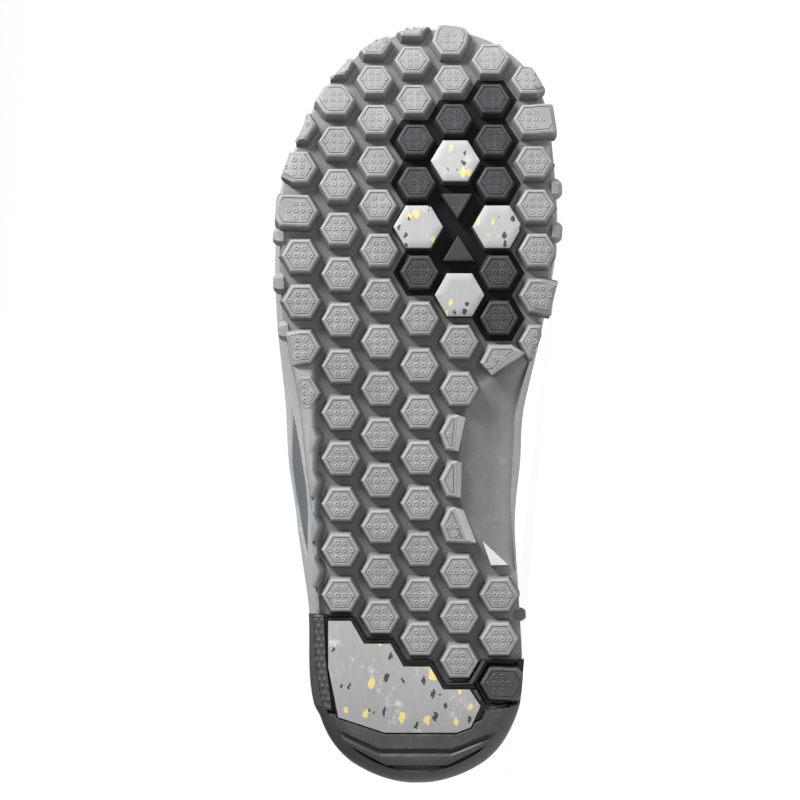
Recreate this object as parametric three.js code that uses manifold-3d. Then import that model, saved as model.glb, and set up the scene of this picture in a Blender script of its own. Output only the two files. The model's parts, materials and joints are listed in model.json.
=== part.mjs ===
// Winter boot for the right foot, a plain pull-on, lying on its medial side with the sole edge and the
// shaft both on the floor. Lengths are in millimetres.
// The boot is shaped in its own frame: X runs from heel to toe, Y to the medial side and Z up from the tread.
// It is then laid down: the toe points along +X, the shaft along +Y, and the tread faces -Y.

import * as THREE from "three";
import { mergeVertices } from "three/addons/utils/BufferGeometryUtils.js";
import Module from "manifold-3d";

const wasm = await Module();
wasm.setup();

// Driving sizes of the sole
const soleLength = 314;
const ballWidth = 114;
const heelStack = 31;
const forefootStack = 25;
const outsoleDepth = 11;
const toeSpring = 27;
const springStart = 0.645;
const edgeRadius = 10;
const wallFlare = 8;
const sideRib = 0.8;

// Driving sizes of the tread
const lugPitch = 18.6;
const lugBase = 13.6;
const lugTop = 11.7;
const lugDepth = 5;
const gridStart = 152.1;
const gridCentre = 0.8;
const toeDrift = 3.4;
const padWidth = 17.7;
const padDepth = 4.2;
const padTaper = 0.6;
const insertDepth = 2;
const railWidth = 9;
const railDrop = 0.6;
const archRise = 4;
const studWidth = 9;
const studReach = 2.2;
const heelPadRim = 2.4;
const heelPadDepth = 3.6;
const ridgeWidth = 2;
const ridgeDepth = 3.4;

// Driving sizes of the upper, the footbed and the badge
const collarRise = 205;
const upperWall = 2.5;
const lastingMargin = 15;
const footbedDepth = 5;
const overlayWall = 1.6;
const cuffWall = 3;
const cuffHeight = 34;
const badgeLength = 60;
const badgeWall = 0.8;
const recessDepth = 1.4;

// Clearance between pieces that meet
const fit = 0.3;

// Fineness of the surfaces
const outlineSteps = 28;
const upperSections = 29;
const upperSides = 22;

// Outline of the outsole: station as a share of the sole's length, edges as shares of the ball width,
// tread edge as a share of the edge radius, flares of the side wall as shares of the largest flare
const outline = [
  { station: 0.0255, lateral: 0.224, medial: 0.228, round: 1.2, flareLateral: 0.3, flareMedial: 0.25 },
  { station: 0.104, lateral: 0.349, medial: 0.363, round: 0.9, flareLateral: 0.35, flareMedial: 0.15 },
  { station: 0.207, lateral: 0.363, medial: 0.368, round: 0.6, flareLateral: 0.5, flareMedial: 0.15 },
  { station: 0.339, lateral: 0.382, medial: 0.342, round: 0.5, flareLateral: 0.9, flareMedial: 0.2 },
  { station: 0.417, lateral: 0.404, medial: 0.346, round: 0.5, flareLateral: 1, flareMedial: 0.2 },
  { station: 0.497, lateral: 0.43, medial: 0.364, round: 0.55, flareLateral: 0.8, flareMedial: 0.2 },
  { station: 0.6, lateral: 0.487, medial: 0.447, round: 0.7, flareLateral: 0.4, flareMedial: 0.2 },
  { station: 0.707, lateral: 0.5, medial: 0.498, round: 0.8, flareLateral: 0.3, flareMedial: 0.2 },
  { station: 0.787, lateral: 0.482, medial: 0.497, round: 0.8, flareLateral: 0.25, flareMedial: 0.2 },
  { station: 0.841, lateral: 0.43, medial: 0.487, round: 0.8, flareLateral: 0.25, flareMedial: 0.2 },
  { station: 0.9255, lateral: 0.311, medial: 0.434, round: 0.8, flareLateral: 0.25, flareMedial: 0.2 },
  { station: 0.982, lateral: 0.136, medial: 0.272, round: 0.8, flareLateral: 0.25, flareMedial: 0.25 },
];

// Side wall of the midsole: rise as a share of its height, reach as a share of the flare, step in ribs
const sideWall = [
  { rise: 0, reach: 0, step: 0 },
  { rise: 0.12, reach: 0.16, step: 0 },
  { rise: 0.86, reach: 1, step: 0 },
  { rise: 0.87, reach: 1, step: -1 },
  { rise: 0.93, reach: 1, step: -1 },
  { rise: 0.94, reach: 1, step: 0 },
  { rise: 1, reach: 0.95, step: -0.6 },
];

// Inner edge of the smooth arch: station as a share of length, edge as a share of the ball width
const arch = [
  { station: 0.263, edge: 0.4 },
  { station: 0.28, edge: 0.292 },
  { station: 0.309, edge: 0.204 },
  { station: 0.341, edge: 0.157 },
  { station: 0.38, edge: 0.132 },
  { station: 0.445, edge: 0.139 },
  { station: 0.496, edge: 0.168 },
  { station: 0.525, edge: 0.239 },
  { station: 0.538, edge: 0.346 },
  { station: 0.558, edge: 0.47 },
];

// Cells of the hexagonal grid that the dark forefoot piece takes up, and what stands on each
const forefootCells = [
  { column: 0, rows: [3, 5, 6], holds: "lug" },
  { column: 1, rows: [6], holds: "lug" },
  { column: 2, rows: [2, 3, 5, 6, 7], holds: "lug" },
  { column: 0, rows: [4], holds: "pad" },
  { column: 1, rows: [2, 5], holds: "pad" },
  { column: 2, rows: [4], holds: "pad" },
  { column: 1, rows: [3], holds: "wedge", points: 1 },
  { column: 1, rows: [4], holds: "wedge", points: -1 },
];

// Cells whose heel-side edges are the front of the heel piece, from the lateral side to the medial one
const heelBorder = [
  { column: -2, row: -4 },
  { column: -1, row: -5 },
  { column: 0, row: -5 },
  { column: 1, row: -6 },
  { column: 2, row: -5 },
];
const heelLug = { column: 2, row: -6 };

// Outline of the heel pad behind the border: place as a share of length, across as a share of ball width
const heelPadArc = [
  { station: 0.1, across: 0.224 },
  { station: 0.072, across: 0.189 },
  { station: 0.065, across: 0.139 },
  { station: 0.065, across: -0.118 },
  { station: 0.085, across: -0.285 },
  { station: 0.15, across: -0.321 },
];

// Ridges across the heel's end: places as shares of length and of ball width
const heelRidges = [
  [[0.049, -0.24], [0.0255, -0.12], [0.0255, 0.11], [0.05, 0.26]],
  [[0.035, -0.26], [0.012, -0.13], [0.012, 0.12], [0.036, 0.28]],
];

// Studs on the side wall: side and station as a share of length
const studs = [
  { side: -1, station: 0.59 },
  { side: -1, station: 0.652 },
  { side: -1, station: 0.71 },
  { side: 1, station: 0.715 },
  { side: 1, station: 0.773 },
];

// Sections of the upper: top and bottom places as shares of sole length and collar rise above the sole,
// centre and half-width as shares of the ball width, height of the widest place from -1 to 1
const lastSections = [
  { topAt: 0.98, topRise: 0.08, footAt: 0.98, footRise: 0.045, centre: 0.092, half: 0.05, widest: 0 },
  { topAt: 0.974, topRise: 0.145, footAt: 0.974, footRise: 0.005, centre: 0.088, half: 0.165, widest: -0.2 },
  { topAt: 0.95, topRise: 0.19, footAt: 0.95, footRise: -0.02, centre: 0.073, half: 0.285, widest: -0.35 },
  { topAt: 0.905, topRise: 0.22, footAt: 0.905, footRise: -0.02, centre: 0.05, half: 0.382, widest: -0.4 },
  { topAt: 0.845, topRise: 0.243, footAt: 0.845, footRise: -0.02, centre: 0.027, half: 0.438, widest: -0.45 },
  { topAt: 0.77, topRise: 0.27, footAt: 0.765, footRise: -0.02, centre: 0.008, half: 0.47, widest: -0.5 },
  { topAt: 0.69, topRise: 0.32, footAt: 0.67, footRise: -0.02, centre: -0.008, half: 0.472, widest: -0.55 },
  { topAt: 0.615, topRise: 0.395, footAt: 0.56, footRise: -0.02, centre: -0.028, half: 0.437, widest: -0.55 },
  { topAt: 0.555, topRise: 0.48, footAt: 0.43, footRise: -0.02, centre: -0.035, half: 0.38, widest: -0.5 },
  { topAt: 0.51, topRise: 0.56, footAt: 0.28, footRise: -0.02, centre: -0.02, half: 0.358, widest: -0.45 },
  { topAt: 0.48, topRise: 0.63, footAt: 0.15, footRise: -0.02, centre: -0.006, half: 0.352, widest: -0.38 },
  { topAt: 0.462, topRise: 0.69, footAt: 0.052, footRise: -0.02, centre: 0, half: 0.342, widest: -0.32 },
  { topAt: 0.45, topRise: 0.75, footAt: 0.016, footRise: 0.08, centre: 0, half: 0.34, widest: -0.15 },
  { topAt: 0.442, topRise: 0.805, footAt: 0.014, footRise: 0.25, centre: 0, half: 0.355, widest: -0.05 },
  { topAt: 0.436, topRise: 0.865, footAt: 0.022, footRise: 0.44, centre: 0, half: 0.38, widest: 0 },
  { topAt: 0.431, topRise: 0.93, footAt: 0.018, footRise: 0.68, centre: 0, half: 0.41, widest: 0 },
  { topAt: 0.428, topRise: 1.01, footAt: 0.004, footRise: 0.95, centre: 0, half: 0.435, widest: 0 },
];
const topSquareness = 2.1;
const footSquareness = 3.4;

// Side outlines of the overlays: places as shares of sole length and collar rise above the sole
const toeCapProfile = [[0.86, -0.1], [0.875, 0.05], [0.915, 0.3], [1.1, 0.4], [1.1, -0.1]];
const counterProfile = [[0.2, -0.1], [0.185, 0.12], [0.13, 0.33], [-0.1, 0.42], [-0.1, -0.1]];

// Finishes
const finishes = {
  greyRubber: { color: 0x8f9092, roughness: 0.7, metalness: 0 },
  darkRubber: { color: 0x3a3b3d, roughness: 0.65, metalness: 0 },
  paleGrip: { color: 0xb9b9b9, roughness: 0.6, metalness: 0 },
  paleFoam: { color: 0xb4b5b6, roughness: 0.75, metalness: 0 },
  plainBadge: { color: 0x55575a, roughness: 0.5, metalness: 0 },
  shellCloth: { color: 0x4c4e51, roughness: 0.85, metalness: 0 },
  overlayRubber: { color: 0x2e2f31, roughness: 0.6, metalness: 0 },
  footbedFelt: { color: 0x77797c, roughness: 0.95, metalness: 0 },
};

// Weights in grams per cubic millimetre, which settle how the boot lies
const weights = { rubber: 0.00115, foam: 0.00025, cloth: 0.0009 };

// Tables and lofts

// Smooth value of one column at a place between the rows, with flat ends
function smoothColumn(rows, place, key, at) {
  const last = rows.length - 1;
  let i = 0;
  while (i < last - 1 && at > place(rows[i + 1], i + 1)) {
    i += 1;
  }
  const at0 = place(rows[i], i);
  const at1 = place(rows[i + 1], i + 1);
  const share = THREE.MathUtils.clamp((at - at0) / (at1 - at0), 0, 1);
  const slope = (n) => {
    const a = Math.max(n - 1, 0);
    const b = Math.min(n + 1, last);
    return (rows[b][key] - rows[a][key]) / (place(rows[b], b) - place(rows[a], a));
  };
  const span = at1 - at0;
  const s2 = share * share;
  const s3 = s2 * share;
  return rows[i][key] * (2 * s3 - 3 * s2 + 1) + slope(i) * span * (s3 - 2 * s2 + share)
    + rows[i + 1][key] * (3 * s2 - 2 * s3) + slope(i + 1) * span * (s3 - s2);
}

// Closed solid from points and triangles, turned so that its faces point out
function solid(points, triangles) {
  let volume = 0;
  for (const [a, b, c] of triangles) {
    volume += points[a].dot(new THREE.Vector3().crossVectors(points[b], points[c]));
  }
  const geometry = new THREE.BufferGeometry().setFromPoints(points);
  geometry.setIndex(triangles.flatMap(([a, b, c]) => (volume > 0 ? [a, b, c] : [a, c, b])));
  const merged = mergeVertices(geometry, 1e-5);
  return new wasm.Manifold(new wasm.Mesh({
    numProp: 3,
    vertProperties: merged.attributes.position.array,
    triVerts: new Uint32Array(merged.index.array),
  }));
}

// Solid through closed rings of as many points each, with a flat cap at both ends
function loft(rings, capTriangles) {
  const count = rings[0].length;
  const cap = capTriangles ?? Array.from({ length: count - 2 }, (_, i) => [0, i + 1, i + 2]);
  const triangles = cap.map(([a, b, c]) => [c, b, a]);
  for (let r = 0; r < rings.length - 1; r += 1) {
    for (let i = 0; i < count; i += 1) {
      const a = r * count + i;
      const b = r * count + (i + 1) % count;
      triangles.push([a, b, b + count], [a, b + count, a + count]);
    }
  }
  const end = (rings.length - 1) * count;
  cap.forEach(([a, b, c]) => triangles.push([end + a, end + b, end + c]));
  return solid(rings.flat(), triangles);
}

// Outline of number pairs as points that run anticlockwise
function anticlockwise(corners) {
  const flat = corners.map(([x, y]) => new THREE.Vector2(x, y));
  return THREE.ShapeUtils.isClockWise(flat) ? flat.reverse() : flat;
}

// Outline moved out by a distance, square to each of its edges
function grownOutline(corners, grow) {
  const flat = anticlockwise(corners);
  return flat.map((p, i) => {
    const before = p.clone().sub(flat.at(i - 1)).normalize();
    const after = flat[(i + 1) % flat.length].clone().sub(p).normalize();
    const miter = grow / (1 + before.dot(after));
    return [p.x + (before.y + after.y) * miter, p.y - (before.x + after.x) * miter];
  });
}

// Prism of an outline of [x, y] pairs between two heights
function uprightPrism(corners, low, high) {
  const flat = anticlockwise(corners);
  const cap = THREE.ShapeUtils.triangulateShape(flat, []);
  return loft([low, high].map((z) => flat.map((p) => new THREE.Vector3(p.x, p.y, z))), cap);
}

// Prism of a side outline of [x, z] pairs, right across the boot
function sidePrism(corners) {
  const flat = anticlockwise(corners);
  const cap = THREE.ShapeUtils.triangulateShape(flat, []);
  return loft([-ballWidth, ballWidth].map((y) => flat.map((p) => new THREE.Vector3(p.x, y, p.y))), cap);
}

function joined(pieces) {
  return wasm.Manifold.union(pieces);
}

// Form of the sole

const atStation = (row) => row.station;
const springFrom = springStart * soleLength;
const springRate = toeSpring / (soleLength - springFrom) ** 2;

// Height of the curved tread above the floor
function springAt(x) {
  return springRate * Math.max(x - springFrom, 0) ** 2;
}

// Height of the top of the midsole
function soleTop(x) {
  const fall = THREE.MathUtils.smoothstep(x / soleLength, 0.15, 0.6);
  return THREE.MathUtils.lerp(heelStack, forefootStack, fall) + springAt(x);
}

// Point of the outsole's outline on one side, at a turn of 0 at the heel to PI at the toe
function outlinePoint(turn, side) {
  const share = (1 - Math.cos(turn)) / 2;
  const roundEnd = (row) => 2 * Math.sqrt(row.station * (1 - row.station));
  const rows = outline.map((row) => ({
    station: row.station,
    centre: (row.medial - row.lateral) / 2,
    half: (row.medial + row.lateral) / 2 / roundEnd(row),
  }));
  const centre = smoothColumn(rows, atStation, "centre", share);
  const half = smoothColumn(rows, atStation, "half", share) * Math.sin(turn);
  return new THREE.Vector2(share * soleLength, (centre + side * half) * ballWidth);
}

// Point of the outline moved out by a distance, square to the outline
function grownPoint(turn, side, grow) {
  const step = 0.004;
  const before = outlinePoint(turn - step, side);
  const after = outlinePoint(turn + step, side);
  const along = after.sub(before).normalize();
  return outlinePoint(turn, side).add(new THREE.Vector2(-along.y, along.x).multiplyScalar(side * grow));
}

function turnAt(station) {
  return Math.acos(1 - 2 * station);
}

// Ring of points round the sole, lateral side first; grow and height are worked out at each place
function soleRing(grow, height) {
  const turns = Array.from({ length: outlineSteps }, (_, i) => Math.PI * (i + 0.5) / outlineSteps);
  const sidePoints = (side) => turns.map((turn) => {
    const share = (1 - Math.cos(turn)) / 2;
    const p = grownPoint(turn, side, grow(share, side));
    return new THREE.Vector3(p.x, p.y, height(p.x, share, side));
  });
  return [...sidePoints(-1), ...sidePoints(1).reverse()];
}

// Plate of the sole's outline through rings, capped by strips from side to side
function plate(rings) {
  const last = 2 * outlineSteps - 1;
  const cap = [];
  for (let i = 0; i < outlineSteps - 1; i += 1) {
    cap.push([i, i + 1, last - i - 1], [i, last - i - 1, last - i]);
  }
  return loft(rings, cap);
}

function flatPlate(grow, low, high) {
  return plate([low, high].map((height) => soleRing(() => grow, (x) => height(x))));
}

// How far the rounded edge of the tread lies inside the outline at a height
function edgeInset(share, height) {
  const radius = edgeRadius * smoothColumn(outline, atStation, "round", share);
  const drop = Math.max(radius - height, 0);
  return radius - Math.sqrt(radius * radius - drop * drop);
}

function treadRing(height) {
  return soleRing((share) => -edgeInset(share, Math.max(height, 0)), (x) => height + springAt(x));
}

// Full body of the outsole with its rounded edge, open below the tread so that flat lug tops stay uncut
const treadEnvelope = plate([
  soleRing((share) => -edgeInset(share, 0), (x) => springAt(x) - 1),
  treadRing(0.05 * edgeRadius),
  treadRing(0.2 * edgeRadius),
  treadRing(lugDepth),
  treadRing(outsoleDepth),
]);

// Tread grid

const columnPitch = lugPitch * Math.sqrt(3) / 2;

// Place on the curved tread: distance along it, distance across and depth into the sole
function onTread(along, across, depth) {
  const run = Math.max(along - springFrom, 0);
  const rate = 2 * springRate;
  let x = run;
  for (let i = 0; i < 6; i += 1) {
    const root = Math.sqrt(1 + (rate * x) ** 2);
    x -= (x * root / 2 + Math.asinh(rate * x) / (2 * rate) - run) / root;
  }
  const slope = rate * x;
  const root = Math.sqrt(1 + slope * slope);
  const foot = Math.min(along, springFrom) + x;
  const drift = toeDrift * Math.max(foot - springFrom, 0) / (soleLength - springFrom);
  return new THREE.Vector3(foot - depth * slope / root, across - drift, springAt(foot) + depth / root);
}

function cellCentre(column, row) {
  return [gridStart + lugPitch * (row + (column % 2 === 0 ? 0 : 0.5)), gridCentre + columnPitch * column];
}

// Corners of a hexagon by its width across flats, two of them pointing to the sides
function hexCorners(centre, width) {
  return Array.from({ length: 6 }, (_, i) => {
    const angle = i * Math.PI / 3;
    const reach = width / Math.sqrt(3);
    return [centre[0] + reach * Math.sin(angle), centre[1] + reach * Math.cos(angle)];
  });
}

// Corners laid flat on the tangent plane of the tread at a centre
function onTangent(centre, corners, depth) {
  const base = onTread(centre[0], centre[1], depth);
  const lift = onTread(centre[0], centre[1], depth + 1).sub(base);
  const ahead = new THREE.Vector3(lift.z, 0, -lift.x);
  return corners.map(([x, y]) => new THREE.Vector3(0, y - centre[1], 0)
    .addScaledVector(ahead, x - centre[0]).add(base));
}

function hexBlock(centre, lowWidth, highWidth, low, high) {
  const ring = (width, depth) => onTangent(centre, hexCorners(centre, width), depth);
  return loft([ring(lowWidth, low), ring(highWidth, high)]);
}

function lug(column, row) {
  const rootDepth = lugDepth + 1.6;
  return hexBlock(cellCentre(column, row), lugTop, lugBase, 0, rootDepth);
}

// Cell-wide prism with upright walls whose corners follow the curved tread, so that neighbours share walls
function cellPrism(column, row, grow, low, high) {
  const snap = (v) => Math.round(v * 1000) / 1000;
  const corners = hexCorners(cellCentre(column, row), lugPitch + grow);
  const ring = (depth) => corners.map(([x, y]) => {
    const p = onTread(x, y, 0);
    return new THREE.Vector3(snap(p.x), snap(p.y), snap(p.z + depth));
  });
  return loft([ring(low), ring(high)]);
}

const insertCells = forefootCells.flatMap((entry) => entry.rows.map((row) => ({ ...entry, row })));

function isInsert(column, row) {
  return insertCells.some((cell) => cell.column === column && cell.row === row);
}

// Outline of the heel piece, cut along the cell edges
const borderCorners = heelBorder.flatMap(({ column, row }) => {
  const corners = hexCorners(cellCentre(column, row), lugPitch);
  const heelSide = corners.filter(([x]) => x < cellCentre(column, row)[0] - lugPitch / 4);
  return heelSide.sort((a, b) => a[1] - b[1]);
});

const heelOutline = [
  [borderCorners[0][0], -ballWidth],
  ...borderCorners,
  [borderCorners[borderCorners.length - 1][0], ballWidth],
  [-ballWidth, ballWidth],
  [-ballWidth, -ballWidth],
];
const heelPrism = uprightPrism(heelOutline, -edgeRadius, outsoleDepth + 1);
const heelCutter = uprightPrism(grownOutline(heelOutline, fit), -edgeRadius, outsoleDepth + 1);

// Outsole

function archCutter() {
  const rings = arch.map((row) => {
    const x = row.station * soleLength;
    const inner = row.edge * ballWidth;
    const outer = ballWidth * 0.6;
    const low = -edgeRadius;
    return [[inner, low], [outer, low], [outer, lugDepth + archRise], [inner, lugDepth - 0.1]]
      .map(([y, z]) => new THREE.Vector3(x, y, z));
  });
  return loft(rings);
}

// Smooth rail that closes the grooves along the lateral waist
function lateralRail() {
  const from = 0.2;
  const to = 0.535;
  const count = 9;
  const rings = Array.from({ length: count }, (_, i) => {
    const share = THREE.MathUtils.lerp(from, to, i / (count - 1));
    const drop = i === 0 || i === count - 1 ? lugDepth - 0.2 : railDrop;
    const turn = turnAt(share);
    const place = (inset, height) => {
      const p = grownPoint(turn, -1, -inset);
      return new THREE.Vector3(p.x, p.y, height + springAt(p.x));
    };
    const rootDepth = lugDepth + 1;
    return [
      place(railWidth, rootDepth),
      place(railWidth - 1.5, drop),
      place(edgeInset(share, drop), drop),
      place(edgeInset(share, lugDepth - 0.1) + 0.05, lugDepth - 0.1),
      place(1, rootDepth),
    ];
  });
  return loft(rings);
}

// Six-sided stud that stands out of the side wall
function sideStud({ side, station }) {
  const turn = turnAt(station);
  const root = grownPoint(turn, side, -2);
  const tip = grownPoint(turn, side, studReach);
  const out = tip.clone().sub(root).normalize();
  const middle = outsoleDepth * 0.55;
  const ring = (p, width) => hexCorners([0, 0], width).map(([x, y]) => new THREE.Vector3(
    p.x - out.y * x,
    p.y + out.x * x,
    middle + springAt(p.x) + y * 0.75,
  ));
  return loft([ring(root, studWidth), ring(tip, studWidth * 0.55)]);
}

function treadLugs() {
  const lugs = [];
  for (let column = -3; column <= 3; column += 1) {
    for (let row = -8; row <= 9; row += 1) {
      const [along, across] = cellCentre(column, row);
      const centre = onTread(along, across, 0);
      const onSole = centre.x > 0 && centre.x < soleLength;
      if (!onSole || isInsert(column, row)) {
        continue;
      }
      const turn = turnAt(centre.x / soleLength);
      const side = Math.sign(across);
      const edge = outlinePoint(turn, side).y;
      if ((edge - centre.y) * side > -lugTop / 4) {
        lugs.push(lug(column, row));
      }
    }
  }
  return lugs;
}

const outsoleBase = plate([treadRing(lugDepth), treadRing(outsoleDepth)]);
const pocketDepth = lugDepth + insertDepth + fit;
const insertPocket = joined(insertCells.map(({ column, row }) => (
  cellPrism(column, row, 2 * fit, -2, pocketDepth))));
const outsole = joined([
  outsoleBase,
  joined([...treadLugs(), lateralRail()]).intersect(treadEnvelope).subtract(archCutter()),
  ...studs.map(sideStud),
]).subtract(archCutter()).subtract(insertPocket).subtract(heelCutter);

// Dark forefoot piece, its lugs and its pads

// Small three-sided lug between the pads, its point towards the toe or the heel
function wedge(column, row, points) {
  const centre = cellCentre(column, row);
  const reach = lugPitch * 0.3;
  const foot = centre[0] - points * reach * 0.8;
  const corners = [
    [centre[0] + points * reach, centre[1]],
    [foot, centre[1] + points * reach],
    [foot, centre[1] - points * reach],
  ];
  return loft([onTangent(centre, corners, 0), onTangent(centre, corners, lugDepth + 1)]);
}

const insertFloor = joined(insertCells.map(({ column, row }) => (
  cellPrism(column, row, 0, lugDepth, lugDepth + insertDepth))));
const insertLugs = insertCells.filter(({ holds }) => holds === "lug").map(({ column, row }) => (
  hexBlock(cellCentre(column, row), lugTop, lugBase, 0, lugDepth + 1)));
const insertWedges = insertCells.filter(({ holds }) => holds === "wedge").map(({ column, row, points }) => (
  wedge(column, row, points)));
const forefootInsert = joined([insertFloor, ...insertLugs, ...insertWedges]);

const padRoot = lugDepth - fit;
const gripPads = insertCells.filter(({ holds }) => holds === "pad").map(({ column, row }) => (
  hexBlock(cellCentre(column, row), padWidth - padTaper, padWidth, padRoot - padDepth, padRoot - 0.1)));

// Heel piece and its pad

function channel(points, width, depth) {
  return joined(points.slice(1).map((end, i) => {
    const from = new THREE.Vector2(points[i][0] * soleLength, points[i][1] * ballWidth);
    const to = new THREE.Vector2(end[0] * soleLength, end[1] * ballWidth);
    const along = to.clone().sub(from).setLength(width / 2);
    const side = new THREE.Vector2(-along.y, along.x);
    const corners = [from.clone().sub(along).add(side), from.clone().sub(along).sub(side),
      to.clone().add(along).sub(side), to.clone().add(along).add(side)];
    return uprightPrism(corners.map((p) => [p.x, p.y]), -edgeRadius, depth);
  }));
}

// Cell of the heel lug, open towards the medial side
const heelLugCentre = cellCentre(heelLug.column, heelLug.row);
function bayOutline(width) {
  return hexCorners(heelLugCentre, width).map(([x, y]) => [x, y > heelLugCentre[1] ? y + lugPitch : y]);
}

// Heel pad grown by a distance: what lies inside the border and the pad's own arc, clear of the lug's cell
function heelPadForm(grow, low, high) {
  const arc = heelPadArc.map(({ station, across }) => [station * soleLength, across * ballWidth]);
  const ahead = [arc[arc.length - 1], arc[0]].map(([, y]) => [soleLength / 2, y]);
  return uprightPrism(grownOutline(heelOutline, grow - heelPadRim), low, high)
    .intersect(uprightPrism(grownOutline([...arc, ...ahead], grow), low, high))
    .subtract(uprightPrism(bayOutline(lugPitch + 2 * (heelPadRim - grow)), low - 1, high + 1));
}

const heelEnd = treadEnvelope.intersect(heelPrism)
  .subtract(uprightPrism(grownOutline(heelOutline, edgeRadius), -edgeRadius, 0))
  .subtract(uprightPrism(bayOutline(lugPitch - 1), -edgeRadius, lugDepth))
  .subtract(heelPadForm(fit, -edgeRadius, heelPadDepth + 2 * fit))
  .subtract(joined(heelRidges.map((points) => channel(points, ridgeWidth, ridgeDepth))));
const heelPiece = joined([heelEnd, lug(heelLug.column, heelLug.row).intersect(treadEnvelope)]);
const heelPad = heelPadForm(0, fit, heelPadDepth + fit);

// Midsole and the bare badge in its lateral side

function wallGrow(share, side, rise) {
  const key = side < 0 ? "flareLateral" : "flareMedial";
  const flare = wallFlare * smoothColumn(outline, atStation, key, share);
  let i = 0;
  while (i < sideWall.length - 2 && rise > sideWall[i + 1].rise) {
    i += 1;
  }
  const a = sideWall[i];
  const b = sideWall[i + 1];
  const part = (rise - a.rise) / (b.rise - a.rise);
  const reach = THREE.MathUtils.lerp(a.reach, b.reach, part);
  return flare * reach + sideRib * THREE.MathUtils.lerp(a.step, b.step, part);
}

function wallHeight(x, rise) {
  return THREE.MathUtils.lerp(outsoleDepth + fit + springAt(x), soleTop(x), rise);
}

// Lens-shaped slab in the side wall, between two depths from its face
function lensSlab(grow, inner, outer) {
  const count = 11;
  const half = badgeLength / 2 + grow;
  const middle = 0.385 * soleLength;
  const rings = Array.from({ length: count }, (_, i) => {
    const place = Math.cos(Math.PI * i / (count - 1));
    const x = middle + half * place;
    const turn = turnAt(x / soleLength);
    const spread = 0.29 * (1 - place * place) + 0.01 + grow * 0.03;
    const point = (rise, out) => {
      const p = grownPoint(turn, -1, wallGrow(x / soleLength, -1, rise) + out);
      return new THREE.Vector3(p.x, p.y, wallHeight(p.x, rise));
    };
    const rises = [0.5 - spread, 0.5, 0.5 + spread];
    return [...rises.map((rise) => point(rise, outer)), ...rises.reverse().map((rise) => point(rise, inner))];
  });
  return loft(rings, [[0, 1, 4], [0, 4, 5], [1, 2, 3], [1, 3, 4]]);
}

const midsole = plate(sideWall.map(({ rise }) => soleRing(
  (share, side) => wallGrow(share, side, rise),
  (x) => wallHeight(x, rise),
))).subtract(lensSlab(fit, -recessDepth, wallFlare));
const sideBadge = lensSlab(-fit, fit - recessDepth, fit - recessDepth + badgeWall);

// Upper

const sectionPlace = (_, i) => i;

// Point of the last's section at a place from 0 at the toe to 1 at the collar, and an angle round it
function lastPoint(place, angle) {
  const at = place * (lastSections.length - 1);
  const read = (key) => smoothColumn(lastSections, sectionPlace, key, at);
  const profile = (alongKey, riseKey) => {
    const x = read(alongKey) * soleLength;
    return new THREE.Vector3(x, 0, soleTop(x) + read(riseKey) * collarRise);
  };
  const top = profile("topAt", "topRise");
  const foot = profile("footAt", "footRise");
  const power = (value, squareness) => Math.sign(value) * Math.abs(value) ** (2 / squareness);
  const up = Math.sin(angle);
  const squareness = up > 0 ? topSquareness : footSquareness;
  const widest = read("widest");
  const height = widest + power(up, squareness) * (up > 0 ? 1 - widest : 1 + widest);
  const across = (read("centre") + read("half") * power(Math.cos(angle), squareness)) * ballWidth;
  return foot.lerp(top, (height + 1) / 2).add(new THREE.Vector3(0, across, 0));
}

// Closed form of the last, grown by a distance square to its surface and carried on past the collar
function lastForm(grow, past) {
  const step = 0.002;
  const rings = Array.from({ length: upperSections }, (_, i) => {
    const place = THREE.MathUtils.clamp(i / (upperSections - 1), 0.0001, 1);
    const before = Math.max(place - step, 0);
    const after = Math.min(place + step, 1);
    return Array.from({ length: upperSides }, (__, j) => {
      const angle = 2 * Math.PI * (j + 0.5) / upperSides;
      const along = lastPoint(after, angle).sub(lastPoint(before, angle));
      const around = lastPoint(place, angle + step).sub(lastPoint(place, angle - step));
      const out = new THREE.Vector3().crossVectors(along, around).normalize();
      return lastPoint(place, angle).addScaledVector(out, grow);
    });
  });
  if (past > 0) {
    rings.push(rings[rings.length - 1].map((p) => p.clone().add(new THREE.Vector3(0, 0, past))));
  }
  return loft(rings);
}

// Everything below a height over the top of the sole
function underSole(raise) {
  const wide = 20;
  return flatPlate(wide, (x) => soleTop(x) - 2 * heelStack, (x) => soleTop(x) + raise);
}

function overlayRegion(profile) {
  return sidePrism(profile.map(([at, rise]) => [
    at * soleLength,
    forefootStack + springAt(THREE.MathUtils.clamp(at, 0, 1) * soleLength) + rise * collarRise,
  ]));
}

const upperOpening = flatPlate(
  -lastingMargin,
  (x) => soleTop(x) - 1,
  (x) => soleTop(x) + fit + upperWall + 1,
);
const hollow = lastForm(-upperWall, 2 * upperWall).subtract(underSole(fit + upperWall));
const upper = lastForm(0, 0).subtract(underSole(fit)).subtract(hollow).subtract(upperOpening);
const overlayShell = lastForm(fit + overlayWall, 0).subtract(lastForm(fit, 0)).subtract(underSole(fit));
const toeCap = overlayShell.intersect(overlayRegion(toeCapProfile));
const heelCounter = overlayShell.intersect(overlayRegion(counterProfile));

// Padded band round the top of the shaft
function collarBand() {
  const rim = lastSections[lastSections.length - 1];
  const edge = (at, rise, drop) => [at * soleLength, soleTop(at * soleLength) + rise * collarRise - drop];
  const front = edge(rim.topAt, rim.topRise, cuffHeight);
  const back = edge(rim.footAt, rim.footRise, cuffHeight);
  const far = ballWidth / 2;
  const fall = (front[1] - back[1]) / (front[0] - back[0]) * far;
  return sidePrism([[back[0] - far, back[1] - fall], [front[0] + far, front[1] + fall],
    [front[0] + far, front[1] + ballWidth], [back[0] - far, back[1] + ballWidth]]);
}

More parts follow.
